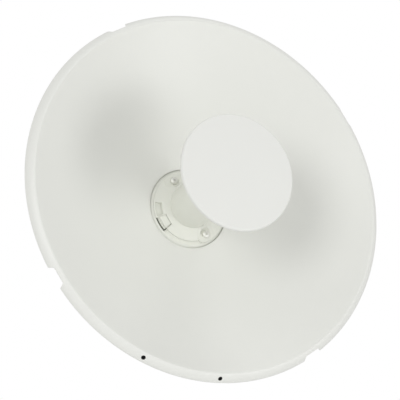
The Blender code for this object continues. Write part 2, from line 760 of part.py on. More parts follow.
def make_mount_bracket():
    """The fixed bracket: a flat face for a wall or pole plate, and two cheeks with arc slots."""
    face = station(LIP_TO_FACE - FACE_STEEL / 2)
    nose = station(PIVOT_STATION) - CHEEK_NOSE_RADIUS - CUT
    line = [
        (-BRACKET_HALF_WIDTH, nose),
        (-BRACKET_HALF_WIDTH, face),
        (BRACKET_HALF_WIDTH, face),
        (BRACKET_HALF_WIDTH, nose),
    ]
    outline = sheet_outline(line, BRACKET_BEND_RADIUS, FACE_STEEL)
    mesh = plate_mesh("mount_bracket", [outline], 2 * FACE_HALF_HEIGHT, "Z")
    bracket = add_part("mount_bracket", mesh, bracket_steel)

    rear = station(LIP_TO_FACE) + CUT
    flat_front = station(LIP_TO_FACE - FACE_STEEL) - CHEEK_RELIEF_DEPTH
    cheek_root = flat_front - CHEEK_RELIEF
    beyond = FACE_HALF_HEIGHT + CUT
    y, z = pivot_point()
    corner_middle = (y + CHEEK_CORNER_REACH, CHEEK_BOTTOM + CHEEK_CORNER)
    upper_flange = [(rear, beyond), (flat_front, beyond), (flat_front, CHEEK_TOP + CHEEK_RELIEF)]
    lower_flange = [(flat_front, CHEEK_BOTTOM - CHEEK_RELIEF), (flat_front, -beyond), (rear, -beyond)]
    side = (
        upper_flange
        + [(cheek_root, CHEEK_TOP)]
        + arc((y, z), CHEEK_NOSE_RADIUS, *CHEEK_NOSE_ANGLES, 10)
        + arc(corner_middle, CHEEK_CORNER, 200, 270, 3)
        + [(cheek_root, CHEEK_BOTTOM)]
        + lower_flange
    )
    across = 2 * (BRACKET_HALF_WIDTH + CUT)
    side_mesh = plate_mesh("bracket_side", [side], across, "X")
    boolean(bracket, add_cutter("bracket_side", side_mesh), "INTERSECT")

    pivot_hole = cylinder_mesh("bracket_pivot_hole", M8_HOLE_RADIUS, across, HOLE_SIDES)
    slot = arc_slot(
        (y, z),
        LOCK_RADIUS,
        M8_RADIUS + SLOT_CLEARANCE,
        LOCK_ANGLE - TILT_LIMIT,
        LOCK_ANGLE + TILT_LIMIT,
        SLOT_STEP_ANGLE,
    )
    slot_mesh = plate_mesh("arc_slot", [slot], across, "X")
    holes = [
        (pivot_hole, Matrix.Translation((0, y, z)) @ ALONG_X),
        (slot_mesh, Matrix.Identity(4)),
    ]
    straight = FACE_SLOT_HALF_LENGTH - FACE_SLOT_RADIUS
    face_slot = plate_mesh("face_slot", [long_slot((0, 0), straight, FACE_SLOT_RADIUS, 6)], 2 * CUT, "Y")
    for x in (-FACE_SLOT_X, FACE_SLOT_X):
        for height in (-FACE_SLOT_Z, FACE_SLOT_Z):
            holes.append((face_slot, Matrix.Translation((x, face, height))))
    boolean(bracket, joined_cutter("bracket_holes", holes))


def hex_bolt(name, matrix, head_radius, head_height, shank_radius, shank_length):
    """A bolt whose head sits above the local XY plane and whose shank runs down local Z."""
    head = plate_mesh(name, [hexagon((0, 0), head_radius)], head_height, "Z")
    head.transform(Matrix.Translation((0, 0, head_height / 2)))
    bolt = add_part(name, head, fastener_steel, matrix)
    overlap = head_height / 2
    shank = cylinder_mesh(f"{name}_shank", shank_radius, shank_length + overlap, HOLE_SIDES)
    shank.transform(Matrix.Translation((0, 0, (overlap - shank_length) / 2)))
    boolean(bolt, add_cutter(f"{name}_shank", shank, matrix), "UNION")


def make_rear_bolts():
    """Short bolts hold the cradle's feet to the ring, and the channel to the cradle's web."""
    foot_face = station(HUB_BACK + GAP + STEEL + GAP)
    for place, (x, z) in foot_bolt_places().items():
        matrix = Matrix.Translation((x, foot_face, z)) @ REARWARD
        hex_bolt(f"foot_bolt_{place}", matrix, M6_HEAD_RADIUS, M6_HEAD_HEIGHT, M6_RADIUS, FOOT_BOLT_LENGTH)
    web_face = station(CHANNEL_WEB + STEEL / 2 + GAP)
    for place, z in (("upper", WEB_BOLT_Z), ("lower", -WEB_BOLT_Z)):
        matrix = Matrix.Translation((0, web_face, z)) @ REARWARD
        hex_bolt(f"web_bolt_{place}", matrix, M6_HEAD_RADIUS, M6_HEAD_HEIGHT, M6_RADIUS, WEB_BOLT_LENGTH)


def make_cross_bolt(name, place):
    """A long bolt through both cheeks, with a washer at each end and a nut."""
    y, z = place
    outer = BRACKET_HALF_WIDTH + FACE_STEEL / 2
    hole = circle((0, 0), M8_HOLE_RADIUS, HOLE_SIDES)
    washer_rings = [circle((0, 0), M8_WASHER_RADIUS, BOSS_SIDES), hole]
    washer = plate_mesh(f"{name}_washer", washer_rings, M8_WASHER_HEIGHT, "X")
    washer_x = outer + GAP + M8_WASHER_HEIGHT / 2
    add_part(f"{name}_washer_left", washer, fastener_steel, Matrix.Translation((-washer_x, y, z)))
    add_part(f"{name}_washer_right", washer.copy(), fastener_steel, Matrix.Translation((washer_x, y, z)))

    head_x = outer + 2 * GAP + M8_WASHER_HEIGHT
    length = 2 * head_x + M8_HEAD_HEIGHT + M8_THREAD_PAST_NUT
    matrix = Matrix.Translation((-head_x, y, z)) @ Matrix.Rotation(math.radians(-90), 4, "Y")
    hex_bolt(f"{name}_bolt", matrix, M8_HEAD_RADIUS, M8_HEAD_HEIGHT, M8_RADIUS, length)

    nut_rings = [hexagon((0, 0), M8_HEAD_RADIUS), circle((0, 0), M8_RADIUS + GAP, HOLE_SIDES)]
    nut = plate_mesh(f"{name}_nut", nut_rings, M8_HEAD_HEIGHT, "X")
    nut_x = head_x + M8_HEAD_HEIGHT / 2
    add_part(f"{name}_nut", nut, fastener_steel, Matrix.Translation((nut_x, y, z)))


def hang_on_pivot():
    """Everything but the fixed bracket and its pivot bolt tilts about the pivot's axis."""
    pivot = bpy.data.objects.new("dish_pivot", None)
    pivot.location = (0, *pivot_point())
    parts.objects.link(pivot)
    bpy.context.view_layer.update()
    for part in parts.objects:
        if part.type == "MESH" and part.name not in FIXED_PIECES:
            part.parent = pivot
            part.matrix_parent_inverse = pivot.matrix_world.inverted()


clear_scene()
parts = new_collection("microwave_dish_antenna")
cutters = new_collection("cutters")

dish_paint = new_material("dish_paint", (0.80, 0.80, 0.78), 0.45, 0.0)
disc_paint = new_material("disc_paint", (0.84, 0.85, 0.83), 0.40, 0.0)
feed_plastic = new_material("feed_plastic", (0.76, 0.77, 0.72), 0.50, 0.0)
housing_plastic = new_material("housing_plastic", (0.74, 0.75, 0.73), 0.50, 0.0)
bracket_steel = new_material("bracket_steel", (0.60, 0.61, 0.61), 0.42, 0.8)
fastener_steel = new_material("fastener_steel", (0.66, 0.66, 0.65), 0.30, 1.0)
rubber = new_material("rubber", (0.05, 0.05, 0.05), 0.70, 0.0)

make_reflector()
make_hub()
make_latch()
make_feed_screws()
make_feed()
make_rear_ring()
make_housing()
make_cradle()
make_tilt_channel()
make_mount_bracket()
make_rear_bolts()
make_cross_bolt("pivot", pivot_point())
make_cross_bolt("lock", lock_point())
hang_on_pivot()
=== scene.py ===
# %% [markdown]
# A microwave dish antenna: the looks
#
# The antenna links two radio sites. A white bowl gathers the beam, a plastic feed in its centre holds
# a small round disc in front, and a radio housing, a cradle and a steel bracket sit behind it.
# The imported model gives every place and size. This lesson dresses it: each cell makes one piece with
# soft edges and real sheet thickness, and gives it a finish that is worked out by shader nodes.

# %% Load the frame
import math

import bmesh
import bpy
from mathutils import Matrix, Vector


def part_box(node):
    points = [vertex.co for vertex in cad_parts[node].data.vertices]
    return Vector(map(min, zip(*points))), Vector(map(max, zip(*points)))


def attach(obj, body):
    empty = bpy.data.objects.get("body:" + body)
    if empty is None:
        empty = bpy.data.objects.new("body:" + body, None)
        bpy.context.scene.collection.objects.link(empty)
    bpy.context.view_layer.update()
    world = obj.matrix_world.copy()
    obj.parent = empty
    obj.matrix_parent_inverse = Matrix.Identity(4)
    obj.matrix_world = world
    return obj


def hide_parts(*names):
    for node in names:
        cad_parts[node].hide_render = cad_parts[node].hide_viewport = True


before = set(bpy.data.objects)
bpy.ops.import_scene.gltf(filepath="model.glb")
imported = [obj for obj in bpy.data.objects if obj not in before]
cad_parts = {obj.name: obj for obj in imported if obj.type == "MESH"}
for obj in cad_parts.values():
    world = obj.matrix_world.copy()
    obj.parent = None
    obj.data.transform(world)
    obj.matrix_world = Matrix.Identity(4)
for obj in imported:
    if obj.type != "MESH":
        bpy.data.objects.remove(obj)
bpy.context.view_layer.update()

# %% [markdown]
# The camera
#
# The picture looks up at the dish from its lower left, with a long lens and a slight roll. A camera can
# be aimed with a constraint, but a roll is easier to read when the three axes are built by hand: the
# line back to the camera from azimuth and elevation, then right and up turned about that line.

# %% Place the camera
AIM = Vector((-0.0149, -0.235, -0.0189))
DISTANCE = 1.5096
AZIMUTH = math.radians(-19.8)
ELEVATION = math.radians(-23.1)
ROLL = math.radians(11)
LENS = 112.5

back = Vector((
    math.sin(AZIMUTH) * math.cos(ELEVATION),
    -math.cos(AZIMUTH) * math.cos(ELEVATION),
    math.sin(ELEVATION),
))
level_right = Vector((math.cos(AZIMUTH), math.sin(AZIMUTH), 0))
level_up = back.cross(level_right)
right = level_right * math.cos(ROLL) + level_up * math.sin(ROLL)
up = level_up * math.cos(ROLL) - level_right * math.sin(ROLL)

camera = bpy.data.objects.new("camera", bpy.data.cameras.new("camera"))
camera.data.lens = LENS
camera.matrix_world = Matrix((right, up, back)).transposed().to_4x4()
camera.location = AIM + back * DISTANCE
bpy.context.scene.collection.objects.link(camera)
bpy.context.scene.camera = camera
print("Camera at", [round(value, 3) for value in camera.location])

# %% [markdown]
# Shader maths in plain Python
#
# A shader is a network of nodes, and long networks are hard to read as links. The class below wraps one
# output socket, so that `1 - mask * 0.2` adds the Math nodes by itself. Every other node comes from one
# method, which takes the node's type, its settings and what its sockets hold.

# %% A socket that understands arithmetic
class Wire:
    """One output socket of a shader. Arithmetic on it adds Math nodes to its material."""

    def __init__(self, tree, socket=None):
        self.tree = tree
        self.socket = socket

    def node(self, kind, settings=None, values=None, out=0):
        """Adds a node of any type, its settings first, then its sockets by name or number."""
        made = self.tree.nodes.new(kind)
        for name, value in (settings or {}).items():
            setattr(made, name, value)
        for key, value in (values or {}).items():
            self.feed(made.inputs[key], value)
        return Wire(self.tree, made.outputs[out])

    def feed(self, socket, value):
        if isinstance(value, Wire):
            self.tree.links.new(value.socket, socket)
        else:
            socket.default_value = value

    def math(self, operation, *values):
        return self.node("ShaderNodeMath", {"operation": operation}, dict(enumerate(values)))

    def __add__(self, other):
        return self.math("ADD", self, other)

    def __sub__(self, other):
        return self.math("SUBTRACT", self, other)

    def __rsub__(self, other):
        return self.math("SUBTRACT", other, self)

    def __mul__(self, other):
        return self.math("MULTIPLY", self, other)

    def __pow__(self, other):
        return self.math("POWER", self, other)

    __radd__ = __add__
    __rmul__ = __mul__

    def tint(self, low, high):
        """A colour that goes from low to high as this wire goes from 0 to 1."""
        return self.node("ShaderNodeMix", {"data_type": "RGBA"}, {0: self, 6: (*low, 1), 7: (*high, 1)}, 2)

    def noise(self, scale, detail=2.0):
        """Cloudy noise at this place, about 0.5 on average."""
        return self.node("ShaderNodeTexNoise", {}, {"Vector": self, "Scale": scale, "Detail": detail})

    def bump(self, distance):
        """A surface normal from this wire as a height, with its full step in metres."""
        return self.node("ShaderNodeBump", {}, {"Distance": distance, "Height": self}, 0)


print("Wire is ready.")

# %% [markdown]
# Starting a finish
#
# Each finish is one Principled shader. What is the same all over the surface is set on the shader's own
# socket, and only what varies is wired: colour, roughness and the normal. The place on the piece, in
# metres, comes from the Object output of a Texture Coordinate node, so it needs no unwrapping.

# %% A helper that starts and ends a material
def shade(colour, factor):
    return tuple(channel * factor for channel in colour)


class Finish:
    """A material with its shader, and the place on the surface to build patterns from."""

    def __init__(self, name, **constants):
        self.material = bpy.data.materials.new(name)
        self.material.use_nodes = True
        tree = self.material.node_tree
        self.shader = tree.nodes["Principled BSDF"]
        self.place = Wire(tree).node("ShaderNodeTexCoord", out=3)
        for socket, value in constants.items():
            self.shader.inputs[socket.replace("_", " ")].default_value = value

    def wire(self, **links):
        for socket, wire in links.items():
            wire.feed(self.shader.inputs[socket.replace("_", " ")], wire)
        return self.material


# %% [markdown]
# White powder coat
#
# The bowl is pressed aluminium sheet under white polyester powder. Baked powder is not flat: it has
# orange peel about a millimetre across, a fine salt of lighter grains, and a very slight drift in tone
# over a hand's width. A single colour would look like plastic, so noise at those three sizes is mixed.

# %% Powder coat
def powder_coat(name, colour, roughness, peel=0.00003):
    finish = Finish(name, Specular_IOR_Level=0.5, Coat_Roughness=0.25)
    drift = finish.place.noise(6, 3)
    grain = finish.place.noise(1400, 2)
    waves = finish.place.noise(420, 1)
    tone = drift * 0.7 + grain * 0.3
    return finish.wire(
        Base_Color=tone.tint(shade(colour, 0.975), shade(colour, 1.02)),
        Roughness=roughness - 0.04 + grain * 0.05 + drift * 0.03,
        Normal=(waves * 0.8 + grain * 0.2).bump(peel),
    )


dish_paint = powder_coat("bowl_powder_coat", (0.80, 0.806, 0.766), 0.42)
disc_paint = powder_coat("disc_powder_coat", (0.806, 0.811, 0.778), 0.40, 0.00002)
print("Finishes:", dish_paint.name, disc_paint.name)

# %% [markdown]
# Moulded plastic
#
# The feed and the housing are injection-moulded in a weather-proof plastic, a little warmer than the
# paint. The mould is spark-eroded, which leaves an even fine grain, and thick places cool with a faint
# cloud in the tone. Grain is two noises: one sets the bumps and one keeps them from looking regular.

# %% Moulded plastic and rubber
def moulded(name, colour, roughness, grain_size=900, depth=0.00004):
    finish = Finish(name, Specular_IOR_Level=0.45)
    cloud = finish.place.noise(25, 3)
    grain = finish.place.noise(grain_size, 3)
    coarse = finish.place.noise(grain_size / 4, 1)
    return finish.wire(
        Base_Color=(cloud * 0.6 + grain * 0.4).tint(shade(colour, 0.965), shade(colour, 1.03)),
        Roughness=roughness - 0.06 + grain * 0.08 + cloud * 0.04,
        Normal=(grain * 0.7 + coarse * 0.3).bump(depth),
    )


feed_plastic = moulded("hub_moulding", (0.775, 0.785, 0.72), 0.48)
housing_plastic = moulded("housing_moulding", (0.74, 0.75, 0.73), 0.50, 700)
# This black is the grommet's rubber, and it also paints the shade inside the two drain holes.
rubber_and_hole_shade = moulded("black_rubber_and_painted_shade", (0.028, 0.028, 0.030), 0.62, 500, 0.00006)
print("Finishes:", feed_plastic.name, housing_plastic.name, rubber_and_hole_shade.name)

# %% [markdown]
# Galvanised steel and zinc-plated bolts
#
# The brackets are dipped in zinc, which freezes in flat crystals a few millimetres wide: spangle. Each
# crystal has its own grey and its own gloss, so a Voronoi texture gives each cell a random value. The
# bolts are only plated, so they are brighter and show fine turning marks instead.

# %% Galvanised steel
def galvanised(name, colour, roughness):
    finish = Finish(name, Metallic=0.85, Specular_IOR_Level=0.5)
    wobble = finish.place.noise(160, 2)
    shifted = finish.place.node(
        "ShaderNodeVectorMath",
        {"operation": "ADD"},
        {0: finish.place, 1: (wobble * 0.002)},
    )
    crystals = shifted.node("ShaderNodeTexVoronoi", {}, {"Vector": shifted, "Scale": 230}, "Color")
    cell = crystals.node("ShaderNodeSeparateColor", {}, {"Color": crystals}, 0)
    stain = finish.place.noise(30, 4)
    frost = finish.place.noise(1500, 2)
    return finish.wire(
        Base_Color=(cell * 0.55 + stain * 0.45).tint(shade(colour, 0.84), shade(colour, 1.12)),
        Roughness=roughness - 0.10 + cell * 0.14 + stain * 0.08 + frost * 0.04,
        Normal=(cell * 0.3 + frost * 0.3 + wobble * 0.4).bump(0.00006),
    )


def zinc_plate(name, colour, roughness):
    finish = Finish(name, Metallic=1.0, Specular_IOR_Level=0.5)
    marks = finish.place.noise(2200, 2)
    haze = finish.place.noise(120, 3)
    return finish.wire(
        Base_Color=(haze * 0.7 + marks * 0.3).tint(shade(colour, 0.90), shade(colour, 1.08)),
        Roughness=roughness - 0.05 + haze * 0.10 + marks * 0.05,
        Normal=marks.bump(0.00002),
    )


bracket_steel = galvanised("galvanised_sheet", (0.60, 0.61, 0.61), 0.42)
fastener_steel = zinc_plate("zinc_fastener", (0.66, 0.66, 0.65), 0.30)
feed_screw_steel = zinc_plate("satin_fastener", (0.84, 0.84, 0.80), 0.55)
print("Finishes:", bracket_steel.name, fastener_steel.name)

# %% [markdown]
# From a profile to a round piece
#
# Most of this antenna is turned about one line: the bowl, the hub, the neck and the disc. Blender has a
# Screw modifier for that, but the rim's notches need a profile that changes with the angle, so a short
# function places the rings itself. Sharp corners catch no light, so every corner is rounded first.

# %% Profiles and turned meshes
LIP_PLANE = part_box("reflector")[0].y
EDGE_STEPS = 4
SHARP_ANGLE = math.radians(38)


def soften(corners, radius, closed=True):
    """Rounds an outline's corners. A corner may carry its own radius as a third number."""
    found = []
    for i, corner in enumerate(corners):
        here = Vector(corner[:2])
        own = corner[2] if len(corner) > 2 else radius
        before = Vector(corners[i - 1][:2]) - here
        after = Vector(corners[(i + 1) % len(corners)][:2]) - here
        if own == 0 or (not closed and i in (0, len(corners) - 1)):
            found.append(here)
            continue
        half = before.angle(after) / 2
        reach = min(own / math.tan(half), before.length * 0.49, after.length * 0.49)
        start = before.normalized() * reach
        end = after.normalized() * reach
        middle = (start + end).normalized() * reach / math.cos(half)
        first, last = start - middle, end - middle
        for step in range(EDGE_STEPS + 1):
            spoke = first.lerp(last, step / EDGE_STEPS).normalized()
            found.append(here + middle + spoke * first.length)
    return found


def close_up(shape, name):
    """Turns a bmesh into a mesh with outward faces and smooth shading between sharp edges."""
    bmesh.ops.recalc_face_normals(shape, faces=shape.faces)
    mesh = bpy.data.meshes.new(name)
    shape.to_mesh(mesh)
    shape.free()
    mesh.shade_smooth()
    mesh.set_sharp_from_angle(angle=SHARP_ANGLE)
    return mesh


def turned(name, profile_at, angles, centre=(0, 0), closed=True):
    """Turns a profile of radius and station about a line along Y. Stations count from the lip's plane."""
    shape = bmesh.new()
    columns = []
    for angle in angles:
        column = []
        for radius, place in profile_at(angle):
            x = centre[0] + radius * math.cos(angle)
            z = centre[1] + radius * math.sin(angle)
            column.append(shape.verts.new((x, LIP_PLANE + place, z)))
        columns.append(column)
    for first, second in zip(columns, columns[1:] + columns[:1]):
        count = len(first) if closed else len(first) - 1
        for i in range(count):
            j = (i + 1) % len(first)
            shape.faces.new((first[i], first[j], second[j], second[i]))
    bmesh.ops.remove_doubles(shape, verts=shape.verts, dist=0.000001)
    return close_up(shape, name)


def even_angles(sides):
    return [math.tau * i / sides for i in range(sides)]


def round_piece(name, corners, sides=96, radius=0.0006, centre=(0, 0)):
    """A turned piece whose profile runs from the axis and back to it, with its corners rounded."""
    profile = soften(corners, radius, closed=False)
    return turned(name, lambda angle: profile, even_angles(sides), centre, closed=False)


def add_piece(name, mesh, material, body, replaces=()):
    """Puts a mesh in the scene, dressed, named and riding on its body."""
    piece = bpy.data.objects.new(name, mesh)
    mesh.materials.clear()
    mesh.materials.append(material)
    bpy.context.scene.collection.objects.link(piece)
    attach(piece, body)
    if replaces:
        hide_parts(*replaces)
    return piece


def count_triangles(piece):
    evaluated = piece.evaluated_get(bpy.context.evaluated_depsgraph_get())
    mesh = evaluated.to_mesh()
    mesh.calc_loop_triangles()
    count = len(mesh.loop_triangles)
    evaluated.to_mesh_clear()
    print(f"{piece.name}: {count} triangles")


# %% [markdown]
# Cutting with solids
#
# Slots and holes are cut the way a workshop does it, with a tool that passes through. Blender's Boolean
# modifier does that on closed meshes. The tools stay out of the picture and are removed once the cut
# has been applied, so that nothing hidden is left behind.

# %% Cutters
def bake_modifiers(piece):
    """Replaces a piece's mesh with what its modifiers make of it."""
    bpy.context.view_layer.update()
    evaluated = piece.evaluated_get(bpy.context.evaluated_depsgraph_get())
    mesh = bpy.data.meshes.new_from_object(evaluated)
    piece.modifiers.clear()
    piece.data = mesh
    mesh.shade_smooth()
    mesh.set_sharp_from_angle(angle=SHARP_ANGLE)


def combine(piece, meshes, operation="DIFFERENCE"):
    """Cuts a piece with meshes, joins them to it, or keeps what is inside them."""
    tools = []
    for mesh in meshes:
        tool = bpy.data.objects.new("tool", mesh)
        bpy.context.scene.collection.objects.link(tool)
        tools.append(tool)
        modifier = piece.modifiers.new("tool", "BOOLEAN")
        modifier.operation = operation
        modifier.solver = "EXACT"
        modifier.object = tool
    bake_modifiers(piece)
    for tool in tools:
        bpy.data.objects.remove(tool)


def soft_edges(piece, width, segments=2):
    """Rounds every sharp edge that is left after cutting."""
    modifier = piece.modifiers.new("soft edges", "BEVEL")
    modifier.width = width
    modifier.segments = segments
    modifier.limit_method = "ANGLE"
    modifier.angle_limit = math.radians(50)
    bake_modifiers(piece)


def rod(radius, start, end, sides=32, end_radius=None):
    """A cylinder from one point to another, or a cone if it ends with another radius."""
    start, end = Vector(start), Vector(end)
    shape = bmesh.new()
    bmesh.ops.create_cone(
        shape, cap_ends=True, segments=sides, radius1=radius, radius2=end_radius or radius,
        depth=(end - start).length,
    )
    turn = (end - start).to_track_quat("Z", "Y").to_matrix().to_4x4()
    shape.transform(Matrix.Translation((start + end) / 2) @ turn)
    return close_up(shape, "rod")


# %% [markdown]
# The bowl
#
# The reflector is a shallow paraboloid, because that shape sends a flat wavefront to one focus. Its rim
# turns back over a tight crest into a band that stiffens it, and the band has four notches on its rear
# edge. A notch is where the band simply stops early, so the profile's end depends on the angle, and the
# mesh stays clean with no cut at all. Extra angles are added where a notch begins and ends.

# %% Bowl and rim
LIP_RADIUS = 0.225
BOWL_DEPTH = 0.082
FOCAL_LENGTH = LIP_RADIUS ** 2 / (4 * BOWL_DEPTH)
SHEET = 0.0015
CENTRE_HOLE_RADIUS = 0.0528
RIM_MIDDLE = (0.2308, 0.0035)
RIM_EDGE = (0.2355, 0.0098)
CREST_REACH = 0.0013
CREST_STEPS = 6
RIM_STEPS = 10
BOWL_STEPS = 44
NOTCH_ANGLES = [math.radians(angle) for angle in (45, 134, 225, 316)]
NOTCH_FLOOR = 0.0097
NOTCH_MOUTH = 0.0143
DISH_STEPS = 240
NOTCH_STEPS = 10


def circle_through(first, middle, last):
    """Centre and radius of the circle through three points."""
    a, b, c = Vector(first), Vector(middle), Vector(last)
    d = 2 * (a.x * (b.y - c.y) + b.x * (c.y - a.y) + c.x * (a.y - b.y))
    x = a.length_squared * (b.y - c.y) + b.length_squared * (c.y - a.y) + c.length_squared * (a.y - b.y)
    y = a.length_squared * (c.x - b.x) + b.length_squared * (a.x - c.x) + c.length_squared * (b.x - a.x)
    centre = Vector((x / d, y / d))
    return centre, (a - centre).length


def bowl_station(radius):
    return BOWL_DEPTH - radius ** 2 / (4 * FOCAL_LENGTH)


rim_centre, rim_radius = circle_through((LIP_RADIUS, 0), RIM_MIDDLE, RIM_EDGE)
print("Rim band bends round a radius of", round(rim_radius * 1000, 1), "mm")


def rim_point(radius):
    """Where the rim band's front face has that radius from the dish's axis."""
    across = radius - rim_centre.x
    return Vector((radius, rim_centre.y - math.sqrt(rim_radius ** 2 - across ** 2)))


def rim_end(angle):
    """Radius of the band's rear edge: smaller on a notch's floor, with a soft slope at each side."""
    for middle in NOTCH_ANGLES:
        offset = (angle - middle + math.pi) % math.tau - math.pi
        along = abs(offset) * RIM_EDGE[0]
        if along < NOTCH_MOUTH:
            share = min(1, max(0, (NOTCH_MOUTH - along) / (NOTCH_MOUTH - NOTCH_FLOOR)))
            share = share * share * (3 - 2 * share)
            floor = RIM_MIDDLE[0] / math.cos(offset)
            return RIM_EDGE[0] + (floor - RIM_EDGE[0]) * share
    return RIM_EDGE[0]


def sheet_section(front, thickness):
    """The closed section of a sheet from its front line, with round edges at both ends."""
    tangents = [front[min(i + 1, len(front) - 1)] - front[max(i - 1, 0)] for i in range(len(front))]
    normals = [Vector((t.y, -t.x)).normalized() for t in tangents]
    behind = [point + normal * thickness for point, normal in zip(front, normals)]
    section = list(front)
    for end, other, way in ((front[-1], behind[-1], tangents[-1]), (behind[0], front[0], -tangents[0])):
        middle = (end + other) / 2
        for step in (1, 2, 3):
            turn = math.pi * step / 4
            section.append(middle + (end - middle) * math.cos(turn) + way.normalized() * thickness / 2 * math.sin(turn))
        section += behind[::-1] if end is front[-1] else []
    return section


def bowl_section(angle):
    """From the rim's rear edge over the crest and down the bowl to the centre hole, and back behind it."""
    outer = rim_end(angle) - SHEET / 2
    crest_in = LIP_RADIUS - CREST_REACH
    crest_out = LIP_RADIUS + CREST_REACH
    rim = [rim_point(outer + (crest_out - outer) * i / RIM_STEPS) for i in range(RIM_STEPS)]
    start, corner = rim_point(crest_out), Vector((LIP_RADIUS, 0))
    end = Vector((crest_in, bowl_station(crest_in)))
    crest = []
    for i in range(CREST_STEPS + 1):
        t = i / CREST_STEPS
        crest.append(start * (1 - t) ** 2 + corner * 2 * t * (1 - t) + end * t ** 2)
    hole = CENTRE_HOLE_RADIUS
    radii = [crest_in + (hole - crest_in) * i / BOWL_STEPS for i in range(1, BOWL_STEPS + 1)]
    bowl = [Vector((radius, bowl_station(radius))) for radius in radii]
    return sheet_section(rim + crest + bowl, SHEET)


def dish_angles():
    """Even steps round the dish, with fine ones where a notch's side slopes."""
    angles = set(round(math.tau * i / DISH_STEPS, 5) for i in range(DISH_STEPS))
    for middle in NOTCH_ANGLES:
        for side in (-1, 1):
            for step in range(NOTCH_STEPS + 1):
                along = NOTCH_FLOOR + (NOTCH_MOUTH - NOTCH_FLOOR) * step / NOTCH_STEPS
                angles.add(round((middle + side * along / RIM_EDGE[0]) % math.tau, 5))
    kept = []
    for angle in sorted(angles):
        if not kept or angle - kept[-1] > 0.0008:
            kept.append(angle)
    return kept


reflector = add_piece(
    "dish_reflector", turned("dish_reflector", bowl_section, dish_angles()), dish_paint, "dish",
    ["reflector"],
)
count_triangles(reflector)

# %% [markdown]
# Two drain holes
#
# Two small holes in the lowest part of the band let rain out, and they look black in the picture. A
# hole through white sheet would show the bright studio behind it, so each holds a dark cup, open to the
# front, that paints the shade inside the hole black in the rubber finish. The hole is drilled square to the band with a
# rod.

# %% Drains
DRAIN_RADIUS = 0.00275
DRAIN_DEPTH = 0.0050
SHADE_CUP_WALL = 0.0005
for side, angle in (("left", math.radians(-101.1)), ("right", math.radians(-76.7))):
    seat = rim_point(RIM_MIDDLE[0])
    slope = (seat - rim_centre).normalized()
    radial = Vector((math.cos(angle), 0, math.sin(angle)))
    inward = -(radial * slope.x + Vector((0, slope.y, 0)))
    mouth = radial * seat.x + Vector((0, LIP_PLANE + seat.y, 0))
    combine(reflector, [rod(DRAIN_RADIUS, mouth - inward * 0.004, mouth + inward * 0.004)])
    # Each hole gets a dark cup that paints the shade inside the hole black.
    shade_cup = add_piece(
        f"drain_painted_shade_cup_{side}", rod(DRAIN_RADIUS - 0.00005, mouth + inward * 0.0004, mouth + inward * DRAIN_DEPTH),
        rubber_and_hole_shade, "dish",
    )
    inside = DRAIN_RADIUS - SHADE_CUP_WALL
    combine(shade_cup, [rod(inside, mouth - inward * 0.002, mouth + inward * (DRAIN_DEPTH - SHADE_CUP_WALL))])
count_triangles(reflector)

# %% [markdown]
# The disc, its cone and the neck
#
# The feed sends its beam forwards to a small disc, which throws it back onto the bowl. The disc is a
# flat cap with a rounded edge, in front of a shallow cone, on a slightly tapered neck. All three are
# plain turned shapes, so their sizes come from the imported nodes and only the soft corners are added.

# %% Disc, cone and neck
def extent(node):
    """A round node's radius, and the stations of its front and back."""
    low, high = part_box(node)
    return (high.x - low.x) / 2, low.y - LIP_PLANE, high.y - LIP_PLANE


CAP_EDGE = 0.0029
CONE_COLLAR = 0.030
NECK_TOP_RADIUS = 0.0265

cap_radius, cap_front, cap_back = extent("subreflector_cap")
cone_radius, cone_front, cone_back = extent("subreflector_cone")
neck_radius, neck_top, neck_foot = extent("feed_neck")

disc_cap = add_piece(
    "disc_cap",
    round_piece(
        "disc_cap",
        [(0, cap_front), (cap_radius, cap_front, CAP_EDGE), (cap_radius, cap_back), (0, cap_back)],
        192,
    ),
    disc_paint, "dish", ["subreflector_cap"],
)
disc_cone = add_piece(
    "disc_cone",
    round_piece(
        "disc_cone",
        [
            (0, cone_front),
            (cone_radius, cone_front),
            (cone_radius - 0.0030, cone_front + 0.0032, 0.0040),
            (CONE_COLLAR + 0.0028, cone_back - 0.0030, 0.0050),
            (CONE_COLLAR, cone_back, 0.0012),
            (0, cone_back),
        ],
        160,
    ),
    feed_plastic, "dish", ["subreflector_cone"],
)
feed_tube = add_piece(
    "feed_tube",
    round_piece(
        "feed_tube",
        [(0, neck_top), (NECK_TOP_RADIUS, neck_top), (neck_radius, neck_foot, 0.0003), (0, neck_foot)],
        160,
    ),
    feed_plastic, "dish", ["feed_neck"],
)
for piece in (disc_cap, disc_cone, feed_tube):
    count_triangles(piece)

# %% [markdown]
# Flat plates with holes
#
# The flange's cut-outs and every bracket start as flat outlines. A 2D curve fills its outer line and
# leaves its inner lines open, so one curve makes a plate with all its holes at once, and its extrusion
# makes the thickness. The small functions here draw the arcs, slots and corners of such outlines.

# %% Outlines and plates
FACING = {
    "X": Matrix(((0, 0, 1), (1, 0, 0), (0, 1, 0))).to_4x4(),
    "Y": Matrix(((1, 0, 0), (0, 0, -1), (0, 1, 0))).to_4x4(),
    "Z": Matrix.Identity(4),
}


def arc(centre, radius, start, end, steps):
    """Points on an arc, both ends included, angles in degrees."""
    found = []
    for i in range(steps + 1):
        angle = math.radians(start + (end - start) * i / steps)
        found.append((centre[0] + radius * math.cos(angle), centre[1] + radius * math.sin(angle)))
    return found


def circle(centre, radius, sides=48):
    return arc(centre, radius, 0, 360 * (sides - 1) / sides, sides - 1)


def polar(radius, degrees):
    return arc((0, 0), radius, degrees, degrees, 1)[0]


